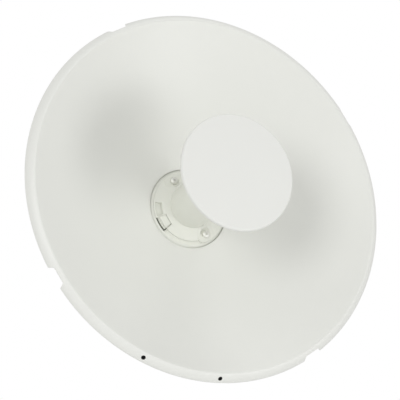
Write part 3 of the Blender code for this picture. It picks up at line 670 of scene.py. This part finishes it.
def plate(outlines, thickness, facing, middle=0.0):
    """A plate from an outline and its holes. Facing X takes Y and Z, facing Y takes X and Z."""
    curve = bpy.data.curves.new("plate", "CURVE")
    curve.dimensions = "2D"
    curve.fill_mode = "BOTH"
    curve.extrude = thickness / 2
    for outline in outlines:
        spline = curve.splines.new("POLY")
        spline.points.add(len(outline) - 1)
        for point, (x, y) in zip(spline.points, outline):
            point.co = (x, y, 0, 1)
        spline.use_cyclic_u = True
    drawn = bpy.data.objects.new("plate", curve)
    bpy.context.scene.collection.objects.link(drawn)
    bpy.context.view_layer.update()
    mesh = bpy.data.meshes.new_from_object(drawn.evaluated_get(bpy.context.evaluated_depsgraph_get()))
    bpy.data.objects.remove(drawn)
    bpy.data.curves.remove(curve)
    shape = bmesh.new()
    shape.from_mesh(mesh)
    bpy.data.meshes.remove(mesh)
    bmesh.ops.remove_doubles(shape, verts=shape.verts, dist=0.000001)
    flat = [edge for edge in shape.edges if edge.is_manifold and edge.calc_face_angle() < 0.0001]
    bmesh.ops.dissolve_edges(shape, edges=flat, use_verts=False)
    shape.transform(FACING[facing])
    axis = Vector([facing == name for name in "XYZ"])
    shape.transform(Matrix.Translation(axis * middle))
    return close_up(shape, "plate")


def sector(inner, outer, start, end, front, back, steps=24):
    """A piece of a ring round the dish's axis, between two stations."""
    outline = arc((0, 0), outer, start, end, steps) + arc((0, 0), inner, end, start, steps)
    return plate([outline], back - front, "Y", LIP_PLANE + (front + back) / 2)


def along_axis(radius, x, z, front, back, sides=64):
    """A rod along the dish's axis, between two stations."""
    return rod(radius, (x, LIP_PLANE + front, z), (x, LIP_PLANE + back, z), sides)


def flatten(piece):
    """Keeps wide faces looking flat beside their rounded edges."""
    modifier = piece.modifiers.new("flat faces", "WEIGHTED_NORMAL")
    modifier.keep_sharp = True
    return piece


print("Plates are ready.")

# %% [markdown]
# The hub and the feed's flange
#
# A moulded hub fills the bowl's centre hole with a dark groove round it. The feed's flange lies on it:
# two wide lobes with the hub showing between them, a low skirt that rises to the neck, two lugs with a
# screw each in a round pocket, a window, and an L-shaped slit that frees the spring latch. Everything is
# cut with rods and ring sectors from one turned blank, and then every new edge is rounded by a bevel.

# %% Hub and flange
FLANGE_FRONT = 0.0757
FLANGE_CUT_RADIUS = 0.0435
SKIRT_RADIUS = 0.0420
SKIRT_TOP_RADIUS = 0.0290
LOBE_GAPS = ((-122, -52), (58, 128))
SCREW_ANGLES = {"upper": 135, "lower": -45}
SCREW_CIRCLE = 0.0395
LUG_RADIUS = 0.0120
LUG_REACH = 0.0480
LUG_FRONT = 0.0748
POCKET_RADII = (0.0072, 0.0126)
POCKET_DEPTH = 0.012
LATCH_ANGLES = (-146, -123)
SLIT_RADII = (0.0465, 0.0481)
HOOK_RADII = (0.0425, 0.0474)
HOOK_ANGLES = (-124.7, -122.7)
LATCH_POCKET_RADII = (0.0352, 0.0465)
LATCH_TAB_RADII = (0.0358, 0.0450)
LATCH_TAB_ANGLES = (-145.3, -125.2)
LATCH_CAVITY_RADIUS = 0.0436
HUB_FACE_RADIUS = 0.0485
HUB_SHOULDER_RADIUS = 0.0523
HUB_SHOULDER_BACK = 0.0801
WINDOW_ANGLES = (-171, -148.5)
WINDOW_RADII = (0.0378, 0.0464)
BEYOND = 0.052
TOOL_REACH = 0.02

hub_radius, hub_front, hub_back = extent("hub_ring")
flange_radius, flange_top, flange_back = extent("feed_flange")

hub = add_piece(
    "feed_hub",
    round_piece(
        "feed_hub",
        [
            (0, hub_front),
            (HUB_FACE_RADIUS, hub_front, 0.0020),
            (HUB_SHOULDER_RADIUS, HUB_SHOULDER_BACK, 0.0010),
            (hub_radius, HUB_SHOULDER_BACK, 0.0004),
            (hub_radius, hub_back, 0.0006),
            (0, hub_back),
        ],
        160,
    ),
    feed_plastic, "dish", ["hub_ring"],
)
SLIT_FLOOR = hub_front + 0.008
slits = [
    sector(LATCH_CAVITY_RADIUS, SLIT_RADII[1], *LATCH_ANGLES, hub_front - TOOL_REACH, SLIT_FLOOR),
    sector(*HOOK_RADII, *HOOK_ANGLES, hub_front - TOOL_REACH, SLIT_FLOOR, 2),
]
combine(hub, slits)
flatten(hub)

flange = add_piece(
    "feed_flange_moulding",
    round_piece(
        "feed_flange_moulding",
        [
            (0, flange_top),
            (SKIRT_TOP_RADIUS, flange_top),
            (SKIRT_RADIUS, FLANGE_FRONT),
            (flange_radius, FLANGE_FRONT),
            (flange_radius, flange_back),
            (0, flange_back),
        ],
        120,
        0,
    ),
    feed_plastic, "dish", ["feed_flange"],
)
screw_places = {place: polar(SCREW_CIRCLE, angle) for place, angle in SCREW_ANGLES.items()}
lugs, tools = [], []
for x, z in screw_places.values():
    outline = [Vector(point) for point in circle((x, z), LUG_RADIUS, 72)]
    outline = [tuple(point * min(1, LUG_REACH / point.length)) for point in outline]
    lugs.append(plate([outline], flange_back - LUG_FRONT, "Y", LIP_PLANE + (LUG_FRONT + flange_back) / 2))
    tools.append(rod(
        POCKET_RADII[0], (x, LIP_PLANE + LUG_FRONT, z), (x, LIP_PLANE + LUG_FRONT - POCKET_DEPTH, z), 64,
        POCKET_RADII[1],
    ))
combine(flange, [
    sector(FLANGE_CUT_RADIUS, BEYOND, start, end, FLANGE_FRONT - TOOL_REACH, FLANGE_FRONT + TOOL_REACH)
    for start, end in LOBE_GAPS
])
combine(flange, lugs, "UNION")
tools.append(sector(SLIT_RADII[0], BEYOND, *LATCH_ANGLES, FLANGE_FRONT - TOOL_REACH, FLANGE_FRONT + TOOL_REACH))
tools.append(sector(*LATCH_POCKET_RADII, *LATCH_ANGLES, FLANGE_FRONT - TOOL_REACH, FLANGE_FRONT))
tools.append(sector(*HOOK_RADII, *HOOK_ANGLES, FLANGE_FRONT - TOOL_REACH, FLANGE_FRONT + TOOL_REACH, 2))
tools.append(sector(*WINDOW_RADII, *WINDOW_ANGLES, FLANGE_FRONT - TOOL_REACH, FLANGE_FRONT + TOOL_REACH))
combine(flange, tools)
soft_edges(flange, 0.0004)
flatten(flange)

latch_low, latch_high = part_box("latch_tab")
latch = add_piece(
    "latch_spring_tab",
    sector(*LATCH_TAB_RADII, *LATCH_TAB_ANGLES, latch_low.y - LIP_PLANE, latch_high.y - LIP_PLANE),
    feed_plastic, "dish", ["latch_tab"],
)
soft_edges(latch, 0.0005, 3)
flatten(latch)
for piece in (hub, flange, latch):
    count_triangles(piece)

# %% [markdown]
# The two feed screws
#
# Each is a small pan-head screw with a cross recess. The domed head is turned from an arc, and the
# recess is cut with two crossed wedges that get narrower downwards, as a driver's tip does.

# %% Feed screws
def wedge_cross(centre, width, length, depth, top):
    """Two crossed wedges that point along the dish's axis."""
    wedges = []
    for turn in (0, 90):
        shape = bmesh.new()
        bmesh.ops.create_cube(shape, size=1)
        for vertex in shape.verts:
            taper = 0.45 if vertex.co.y > 0 else 1
            vertex.co = Vector((vertex.co.x * length * taper, vertex.co.y * depth, vertex.co.z * width * taper))
        shape.transform(Matrix.Rotation(math.radians(turn + 20), 4, "Y"))
        shape.transform(Matrix.Translation((centre[0], LIP_PLANE + top + depth / 2 - 0.0004, centre[1])))
        wedges.append(close_up(shape, "wedge"))
    return wedges


for place, (x, z) in screw_places.items():
    low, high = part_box(f"feed_screw_{place}")
    crown, tip = low.y - LIP_PLANE, high.y - LIP_PLANE
    head = (high.x - low.x) / 2
    screw = add_piece(
        f"pan_screw_{place}",
        round_piece(
            f"pan_screw_{place}",
            [
                (0, crown),
                (head * 0.62, crown + 0.0002, 0.0018),
                (head, crown + 0.0016, 0.0014),
                (head, LUG_FRONT - 0.0003, 0.0002),
                (0.0020, LUG_FRONT - 0.0003, 0.0001),
                (0.0020, tip - 0.0006, 0.0003),
                (0.0012, tip, 0.0002),
                (0, tip),
            ],
            48, 0.0003, (x, z),
        ),
        feed_screw_steel, "dish", [f"feed_screw_{place}"],
    )
    combine(screw, wedge_cross((x, z), 0.0011, 0.0046, 0.0016, crown))
    count_triangles(screw)

# %% [markdown]
# Bent sheet metal
#
# The ring behind the bowl and all three brackets are sheet metal, and a bend in sheet has a round outside
# and a round inside. A path with rounded corners is followed by two lines, half the sheet's thickness to
# each side. Turned about the axis that outline is the ring, and extruded it is a bracket.

# %% Bent paths
BEND_STEPS = 8


def sheet_outline(points, radius, thickness):
    """The outline of a bent sheet seen on edge, from its centre line."""
    corners = [Vector(point) for point in points]
    left, right = [], []
    for i, corner in enumerate(corners):
        before = (corner - corners[i - 1]).normalized() if i else None
        after = (corners[i + 1] - corner).normalized() if i < len(corners) - 1 else None
        along = before or after
        normal = Vector((-along.y, along.x))
        steps = [(corner, normal)]
        if before and after:
            turn = before.angle_signed(after)
            side = -1 if turn > 0 else 1
            middle = corner - before * radius * math.tan(abs(turn) / 2) + normal * radius * side
            swings = [Matrix.Rotation(-turn * step / BEND_STEPS, 2) @ normal for step in range(BEND_STEPS + 1)]
            steps = [(middle - swing * radius * side, swing) for swing in swings]
        left += [tuple(point + swing * thickness / 2) for point, swing in steps]
        right += [tuple(point - swing * thickness / 2) for point, swing in steps]
    return left + right[::-1]


print("Bends have", BEND_STEPS, "steps.")

# %% [markdown]
# The ring behind the bowl
#
# A pressed ring stiffens the bowl round its centre hole and carries the cradle's feet. Its skirt follows
# the bowl's back and its flange is flat. It is painted with the bowl, so it has the same finish.

# %% Rear ring
RING_SHEET = 0.002
RING_BEND = 0.003
RING_INNER = 0.0545
FOOT_HOLE = 0.0033
FOOT_PLACES = {
    "left_upper": (-0.080, 0.018),
    "left_lower": (-0.080, -0.018),
    "right_upper": (0.080, 0.018),
    "right_lower": (0.080, -0.018),
}

ring_radius, ring_front, ring_back = extent("rear_hub_ring")
ring_middle = ring_radius - RING_SHEET / 2
ring_line = [
    (ring_middle, ring_front + 0.0006),
    (ring_middle, ring_back - RING_SHEET / 2),
    (RING_INNER, ring_back - RING_SHEET / 2),
]
ring_section = soften(sheet_outline(ring_line, RING_BEND, RING_SHEET), 0.0004)
rear_ring = add_piece(
    "pressed_ring",
    turned("pressed_ring", lambda angle: ring_section, even_angles(180)),
    dish_paint, "dish", ["rear_hub_ring"],
)
combine(rear_ring, [along_axis(FOOT_HOLE, x, z, 0.08, 0.10, 32) for x, z in FOOT_PLACES.values()])
flatten(rear_ring)
count_triangles(rear_ring)

# %% [markdown]
# The radio housing
#
# Behind the hub sits the radio in a rounded plastic box with a lid, a small cover over its cable port
# and a rubber grommet below. The box is one outline that is extruded and bevelled, and the lid repeats
# it a little smaller, so a fine seam shows between them. Four screws hold the lid in its corners.

# %% Housing, lid, port cover and grommet
def rounded_rectangle(left, right_side, bottom, top, corner, steps=12):
    corners = (
        ((right_side - corner, top - corner), 0),
        ((left + corner, top - corner), 90),
        ((left + corner, bottom + corner), 180),
        ((right_side - corner, bottom + corner), 270),
    )
    return [point for centre, start in corners for point in arc(centre, corner, start, start + 90, steps)]


def block(node, name, facing, corner, material, edge, inset=0.0):
    """A rounded slab that fills a node's box, with soft edges."""
    low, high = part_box(node)
    across, beside = {"Y": (0, 2), "Z": (0, 1)}[facing]
    axis = "XYZ".index(facing)
    outline = rounded_rectangle(
        low[across] + inset, high[across] - inset, low[beside] + inset, high[beside] - inset, corner - inset
    )
    mesh = plate([outline], high[axis] - low[axis], facing, (low[axis] + high[axis]) / 2)
    piece = add_piece(name, mesh, material, "dish", [node])
    soft_edges(piece, edge, 3)
    return flatten(piece)


HOUSING_CORNER = 0.028
LID_CORNER = 0.0265
PORT_CORNER = 0.006
LID_SCREWS = [(side * 0.0445, height) for side in (-1, 1) for height in (0.0445, -0.0745)]

housing = block("radio_housing", "radio_box", "Y", HOUSING_CORNER, housing_plastic, 0.0012)
lid = block("housing_cover", "radio_lid", "Y", LID_CORNER, housing_plastic, 0.0030)
port = block("port_cover", "port_door", "Z", PORT_CORNER, housing_plastic, 0.0012)
lid_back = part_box("housing_cover")[1].y - LIP_PLANE
combine(lid, [along_axis(0.0042, x, z, lid_back - 0.0035, lid_back + 0.01, 40) for x, z in LID_SCREWS])
flatten(lid)
for i, (x, z) in enumerate(LID_SCREWS):
    profile = [(0, lid_back - 0.0035), (0.0034, lid_back - 0.0035), (0.0034, lid_back - 0.0014, 0.001), (0, lid_back - 0.0010)]
    screw = add_piece(
        f"lid_screw_{i + 1}", round_piece(f"lid_screw_{i + 1}", profile, 40, 0.0002, (x, z)),
        fastener_steel, "dish",
    )
    combine(screw, [plate([circle((x, z), 0.0013, 6)], 0.004, "Y", LIP_PLANE + lid_back - 0.0010)])

port_low, port_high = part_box("port_cover")
ribs = []
for i in range(5):
    middle = (port_low.y + port_high.y) / 2 + (i - 2) * 0.0026 + 0.009
    outline = rounded_rectangle(-0.011, 0.011, middle - 0.0006, middle + 0.0006, 0.0005, 3)
    ribs.append(plate([outline], 0.0012, "Z", port_low.z))
combine(port, ribs)
flatten(port)

grommet_low, grommet_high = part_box("cable_grommet")
grommet_radius = (grommet_high.x - grommet_low.x) / 2
grommet_bore = 0.0035
grommet_height = grommet_high.z - grommet_low.z
ridge = 0.0008
wall = [(grommet_bore, 0, 0.0006), (grommet_radius - 0.0012, 0, 0.0010)]
for i in range(3):
    level = grommet_height * (0.22 + 0.22 * i)
    wall += [(grommet_radius - 0.0012, level), (grommet_radius - 0.0024, level + ridge)]
    wall += [(grommet_radius - 0.0024, level + ridge * 1.4), (grommet_radius - 0.0012, level + ridge * 2.4)]
wall += [(grommet_radius, grommet_height - 0.0012, 0.0004), (grommet_radius, grommet_height, 0.0003)]
wall += [(grommet_bore, grommet_height, 0.0003)]
grommet_section = soften(wall, 0.0002)
grommet = turned("grommet", lambda angle: grommet_section, even_angles(64))
upright = Matrix.Rotation(math.radians(90), 4, "X")
middle = (grommet_low + grommet_high) / 2
grommet.transform(Matrix.Translation((0, -LIP_PLANE, 0)))
grommet.transform(Matrix.Translation((middle.x, middle.y, grommet_low.z)) @ upright)
grommet = add_piece("cable_grommet_rubber", grommet, rubber_and_hole_shade, "dish", ["cable_grommet"])
for piece in (housing, lid, port, grommet):
    count_triangles(piece)

# %% [markdown]
# Cradle, tilt channel and wall bracket
#
# Three bent sheets carry the dish. The cradle is a hat-shaped strap round the housing. The channel behind
# it has two ears, and the bracket has two cheeks beside them with an arc slot each, so the dish can tilt
# and be clamped. Each is an extruded bend that is trimmed by its side outline and then drilled.

# %% Brackets
STEEL = 0.003
FACE_STEEL = 0.004
BEND_RADIUS = 0.004
BRACKET_BEND_RADIUS = 0.005
M8_HOLE = 0.0044
TILT_LIMIT = 20
PIVOT = (-0.048, 0.0)
LOCK = (PIVOT[0] + 0.032 * math.cos(math.radians(-45)), 0.032 * math.sin(math.radians(-45)))
WEB_BOLT_Z = 0.018
CHANNEL_WEB = 0.1568
CHANNEL_HALF_WIDTH = 0.0365
CHANNEL_HALF_HEIGHT = 0.040
CHANNEL_CORNER = 0.004
CRADLE_HALF_WIDTH = 0.0635
CRADLE_FOOT_REACH = 0.0905
CRADLE_WEB = 0.1535
CRADLE_FOOT = 0.0935
BRACKET_HALF_WIDTH = 0.0405
FACE_SLOT_X = 0.024
FACE_SLOT_Z = 0.060
REACH = 0.30


def steel_sheet(node, name, body, line, bend, thickness, side, holes):
    """A bent strip that is trimmed to its side outline, drilled and softened."""
    low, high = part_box(node)
    outline = sheet_outline(line, bend, thickness)
    strip = plate([outline], high.z - low.z + (0.01 if side else 0), "Z", (high.z + low.z) / 2)
    piece = add_piece(name, strip, bracket_steel, body, [node])
    if side:
        combine(piece, [plate([side], REACH, "X")], "INTERSECT")
    combine(piece, holes)
    soft_edges(piece, 0.0004)
    count_triangles(piece)
    return flatten(piece)


def cross_rod(place, radius):
    return rod(radius, (-REACH / 2, *place), (REACH / 2, *place), 40)


foot, web = LIP_PLANE + CRADLE_FOOT, LIP_PLANE + CRADLE_WEB
half, reach = CRADLE_HALF_WIDTH, CRADLE_FOOT_REACH
holes = [along_axis(FOOT_HOLE, x, z, 0.08, 0.11, 32) for x, z in FOOT_PLACES.values()]
holes += [along_axis(FOOT_HOLE, 0, z, 0.14, 0.17, 32) for z in (WEB_BOLT_Z, -WEB_BOLT_Z)]
cradle = steel_sheet(
    "cradle", "cradle_strap", "dish",
    [(-reach, foot), (-half, foot), (-half, web), (half, web), (half, foot), (reach, foot)],
    BEND_RADIUS, STEEL, None, holes,
)


def tangent_angle(first, first_radius, second, second_radius):
    """Direction of the outer normal of the line round both circles."""
    across = Vector(second) - Vector(first)
    heading = math.degrees(math.atan2(across.y, across.x))
    return heading - 90 + math.degrees(math.asin((first_radius - second_radius) / across.length))


def rounded_hull(circles, steps=20):
    """The outline round a convex set of circles, in turning order as centre and radius."""
    found = []
    for i, (centre, radius) in enumerate(circles):
        before, before_radius = circles[i - 1]
        after, after_radius = circles[(i + 1) % len(circles)]
        arrive = tangent_angle(before, before_radius, centre, radius)
        leave = tangent_angle(centre, radius, after, after_radius)
        leave += 360 if leave < arrive else 0
        found += arc(centre, radius, arrive, leave, max(1, round(steps * (leave - arrive) / 180)))
    return found


channel_front = LIP_PLANE + CHANNEL_WEB - STEEL / 2 - CHANNEL_CORNER / 2
ear = rounded_hull([
    ((channel_front, CHANNEL_HALF_HEIGHT - CHANNEL_CORNER), CHANNEL_CORNER),
    ((channel_front, -CHANNEL_HALF_HEIGHT + CHANNEL_CORNER), CHANNEL_CORNER),
    (LOCK, 0.010),
    (PIVOT, 0.013),
])
web, half = LIP_PLANE + CHANNEL_WEB, CHANNEL_HALF_WIDTH
holes = [cross_rod(PIVOT, M8_HOLE), cross_rod(LOCK, M8_HOLE)]
holes += [along_axis(FOOT_HOLE, 0, z, 0.14, 0.17, 32) for z in (WEB_BOLT_Z, -WEB_BOLT_Z)]
channel = steel_sheet(
    "tilt_channel", "tilt_channel_sheet", "dish",
    [(-half, 0), (-half, web), (half, web), (half, 0)],
    BEND_RADIUS, STEEL, ear, holes,
)

NOSE_RADIUS = 0.016
CHEEK_TOP = 0.030
CHEEK_BOTTOM = -0.048
CHEEK_CORNER = 0.008
RELIEF = 0.004
FACE_HALF_HEIGHT = 0.080
flat_front = -FACE_STEEL - 0.0015
cheek_root = flat_front - RELIEF
beyond = FACE_HALF_HEIGHT + 0.02
cheek = (
    [(0.02, beyond), (flat_front, beyond), (flat_front, CHEEK_TOP + RELIEF), (cheek_root, CHEEK_TOP)]
    + arc(PIVOT, NOSE_RADIUS, 80, 235, 28)
    + arc((PIVOT[0] + 0.006, CHEEK_BOTTOM + CHEEK_CORNER), CHEEK_CORNER, 200, 270, 8)
    + [(cheek_root, CHEEK_BOTTOM), (flat_front, CHEEK_BOTTOM - RELIEF), (flat_front, -beyond), (0.02, -beyond)]
)
slot_radius, slot_path = 0.0048, 0.032
first = polar(slot_path, -45 - TILT_LIMIT)
last = polar(slot_path, -45 + TILT_LIMIT)
arc_slot = (
    arc((0, 0), slot_path + slot_radius, -45 - TILT_LIMIT, -45 + TILT_LIMIT, 20)
    + arc(last, slot_radius, -45 + TILT_LIMIT, 135 + TILT_LIMIT, 12)[1:-1]
    + arc((0, 0), slot_path - slot_radius, -45 + TILT_LIMIT, -45 - TILT_LIMIT, 20)
    + arc(first, slot_radius, 135 - TILT_LIMIT, 315 - TILT_LIMIT, 12)[1:-1]
)
arc_slot = [(y + PIVOT[0], z + PIVOT[1]) for y, z in arc_slot]
holes = [cross_rod(PIVOT, M8_HOLE), plate([arc_slot], REACH, "X")]
for x in (-FACE_SLOT_X, FACE_SLOT_X):
    for z in (-FACE_SLOT_Z, FACE_SLOT_Z):
        slot = arc((x + 0.0055, z), 0.0045, -90, 90, 12) + arc((x - 0.0055, z), 0.0045, 90, 270, 12)
        holes.append(plate([slot], 0.03, "Y"))
face, half = -FACE_STEEL / 2, BRACKET_HALF_WIDTH
bracket = steel_sheet(
    "mount_bracket", "wall_bracket", "bracket",
    [(-half, -0.09), (-half, face), (half, face), (half, -0.09)],
    BRACKET_BEND_RADIUS, FACE_STEEL, cheek, holes,
)

# %% [markdown]
# Bolts, nuts and washers
#
# A hexagon head is a prism whose corners are turned off at about 30 degrees, so it is made as a prism and
# kept only where a cone says so. The bolt's free end carries a thread. At this size round ridges look the
# same as a helix and stay clean, so the thread is a zigzag profile that is turned.

# %% Fasteners
def to_axis(mesh, origin, direction):
    """Moves a mesh that was built along local Z so that Z points along a direction."""
    turn = Vector(direction).to_track_quat("Z", "Y").to_matrix().to_4x4()
    mesh.transform(Matrix.Translation(origin) @ turn)
    return mesh


def spun(profile, sides=40):
    """A turned solid along local Z, from points of radius and height."""
    shape = bmesh.new()
    columns = []
    for angle in even_angles(sides):
        columns.append([shape.verts.new((r * math.cos(angle), r * math.sin(angle), h)) for r, h in profile])
    for one, two in zip(columns, columns[1:] + columns[:1]):
        for i in range(len(one) - 1):
            shape.faces.new((one[i], one[i + 1], two[i + 1], two[i]))
    bmesh.ops.remove_doubles(shape, verts=shape.verts, dist=0.000001)
    return close_up(shape, "spun")


def hexagon_blank(radius, height, both_ends=False):
    """A hexagon prism on local Z from 0 to its height, and the turned limit of its chamfers."""
    prism = plate([circle((0, 0), radius, 6)], height, "Z", height / 2)
    flats = radius * math.cos(math.radians(30)) * 0.97
    drop = (radius * 1.02 - flats) * math.tan(math.radians(30))
    low = [(0, 0), (flats, 0), (radius * 1.02, drop)] if both_ends else [(0, 0), (radius * 1.02, 0)]
    limit = spun(low + [(radius * 1.02, height - drop), (flats, height), (0, height)], 64)
    return prism, limit


def threaded(radius, start, end, pitch, threads):
    """A profile from one height down to another, with ridges over its last turns."""
    profile = [(0, start), (radius, start)]
    first = end + pitch * threads + radius * 0.2
    profile.append((radius, first))
    for i in range(threads):
        profile.append((radius * 0.86, first - pitch * (i + 0.5)))
        profile.append((radius, first - pitch * (i + 1)))
    return profile + [(radius * 0.8, end), (0, end)]


def hex_bolt(node, name, body, origin, direction, head, height, shank, length, pitch, threads):
    """A bolt with its head's seat at the origin, its head along the direction and its shank behind."""
    prism, limit = hexagon_blank(head, height)
    for mesh in (prism, limit):
        to_axis(mesh, origin, direction)
    bolt = add_piece(name, prism, fastener_steel, body, [node])
    combine(bolt, [limit], "INTERSECT")
    core = to_axis(spun(threaded(shank, height / 2, -length, pitch, threads)), origin, direction)
    combine(bolt, [core], "UNION")
    return bolt


M6 = {"head": 0.0058, "height": 0.004, "shank": 0.003}
M8 = {"head": 0.0075, "height": 0.0053, "shank": 0.004}
SEAT_GAP = 0.0003

foot_seat = LIP_PLANE + 0.0953
for place, (x, z) in FOOT_PLACES.items():
    hex_bolt(f"foot_bolt_{place}", f"foot_screw_{place}", "dish", (x, foot_seat, z), (0, 1, 0), **M6,
             length=0.012, pitch=0.001, threads=7)
web_seat = LIP_PLANE + CHANNEL_WEB + STEEL / 2 + SEAT_GAP
for place, z in (("upper", WEB_BOLT_Z), ("lower", -WEB_BOLT_Z)):
    hex_bolt(f"web_bolt_{place}", f"web_screw_{place}", "dish", (0, web_seat, z), (0, 1, 0), **M6,
             length=0.0075, pitch=0.001, threads=4)

cheek_face = BRACKET_HALF_WIDTH + FACE_STEEL / 2
washer_height = 0.0016
washer_radius = 0.008
for name, body, place in (("pivot", "bracket", PIVOT), ("lock", "dish", LOCK)):
    seat = cheek_face + SEAT_GAP * 2 + washer_height
    bolt = hex_bolt(f"{name}_bolt", f"{name}_hex_bolt", body, (-seat, *place), (-1, 0, 0), **M8,
                    length=2 * seat + M8["height"] + 0.003, pitch=0.00125, threads=8)
    prism, limit = hexagon_blank(M8["head"], M8["height"], True)
    bore = spun([(0, -0.001), (M8["shank"] + 0.0003, -0.001), (M8["shank"] + 0.0003, 0.0065), (0, 0.0065)])
    for mesh in (prism, limit, bore):
        to_axis(mesh, (seat, *place), (1, 0, 0))
    nut = add_piece(f"{name}_hex_nut", prism, fastener_steel, body, [f"{name}_nut"])
    combine(nut, [limit], "INTERSECT")
    combine(nut, [bore])
    for side, sign in (("left", -1), ("right", 1)):
        rounded = soften(
            [(M8_HOLE, 0), (washer_radius, 0), (washer_radius, washer_height), (M8_HOLE, washer_height)], 0.0003
        )
        washer = spun([(point[0], point[1]) for point in rounded] + [(rounded[0][0], rounded[0][1])], 56)
        to_axis(washer, (sign * (cheek_face + SEAT_GAP), *place), (sign, 0, 0))
        washer = add_piece(
            f"{name}_plain_washer_{side}", washer, fastener_steel, body,
            [f"{name}_washer_{side}"],
        )
    count_triangles(bolt)

# %% [markdown]
# Floor, backdrop and light
#
# The antenna stands in a bright white studio. The world is plain white, and large soft lights in front
# shape the bowl: one from above and one from each side, so the bright sector and the two softer zones
# fall where they do in the picture. The floor is far below and pale.

# %% Studio
SKY_LIGHT = 0.63
SOFTBOXES = {
    "left": (45, 195, 14.8, 1.1),
    "lower_right": (45, 330, 8.2, 1.1),
    "right": (45, 345, 6.2, 1.1),
    "top": (80, 90, 7.7, 1.3),
    "low_left": (80, 230, 4, 1.3),
}
SOFTBOX_DISTANCE = 2.5

world = bpy.data.worlds.new("studio")
bpy.context.scene.world = world
world.use_nodes = True
background = world.node_tree.nodes["Background"]
background.inputs["Color"].default_value = (1, 1, 1, 1)
sky = Wire(world.node_tree).node("ShaderNodeLightPath", out=0)
sky.feed(background.inputs["Strength"], sky * (1 - SKY_LIGHT) + SKY_LIGHT)
bpy.context.scene.view_settings.view_transform = "Standard"

for name, (tilt, turn, power, size) in SOFTBOXES.items():
    tilt, turn = math.radians(tilt), math.radians(turn)
    way = Vector((math.sin(tilt) * math.cos(turn), -math.cos(tilt), math.sin(tilt) * math.sin(turn)))
    softbox = bpy.data.objects.new(f"softbox_{name}", bpy.data.lights.new(f"softbox_{name}", "AREA"))
    softbox.data.shape = "DISK"
    softbox.data.size = size
    softbox.data.energy = power
    softbox.location = Vector((0, -0.2, 0)) + way * SOFTBOX_DISTANCE
    softbox.rotation_euler = way.to_track_quat("Z", "Y").to_euler()
    bpy.context.scene.collection.objects.link(softbox)

FLOOR_HEIGHT = -1.2
shape = bmesh.new()
bmesh.ops.create_grid(shape, x_segments=8, y_segments=8, size=6)
shape.transform(Matrix.Translation((0, 0, FLOOR_HEIGHT)))
floor_mesh = bpy.data.meshes.new("floor")
shape.to_mesh(floor_mesh)
shape.free()
floor = bpy.data.objects.new("floor", floor_mesh)
floor_paint = powder_coat("floor_paint", (0.9, 0.9, 0.9), 0.8)
floor_mesh.materials.append(floor_paint)
bpy.context.scene.collection.objects.link(floor)
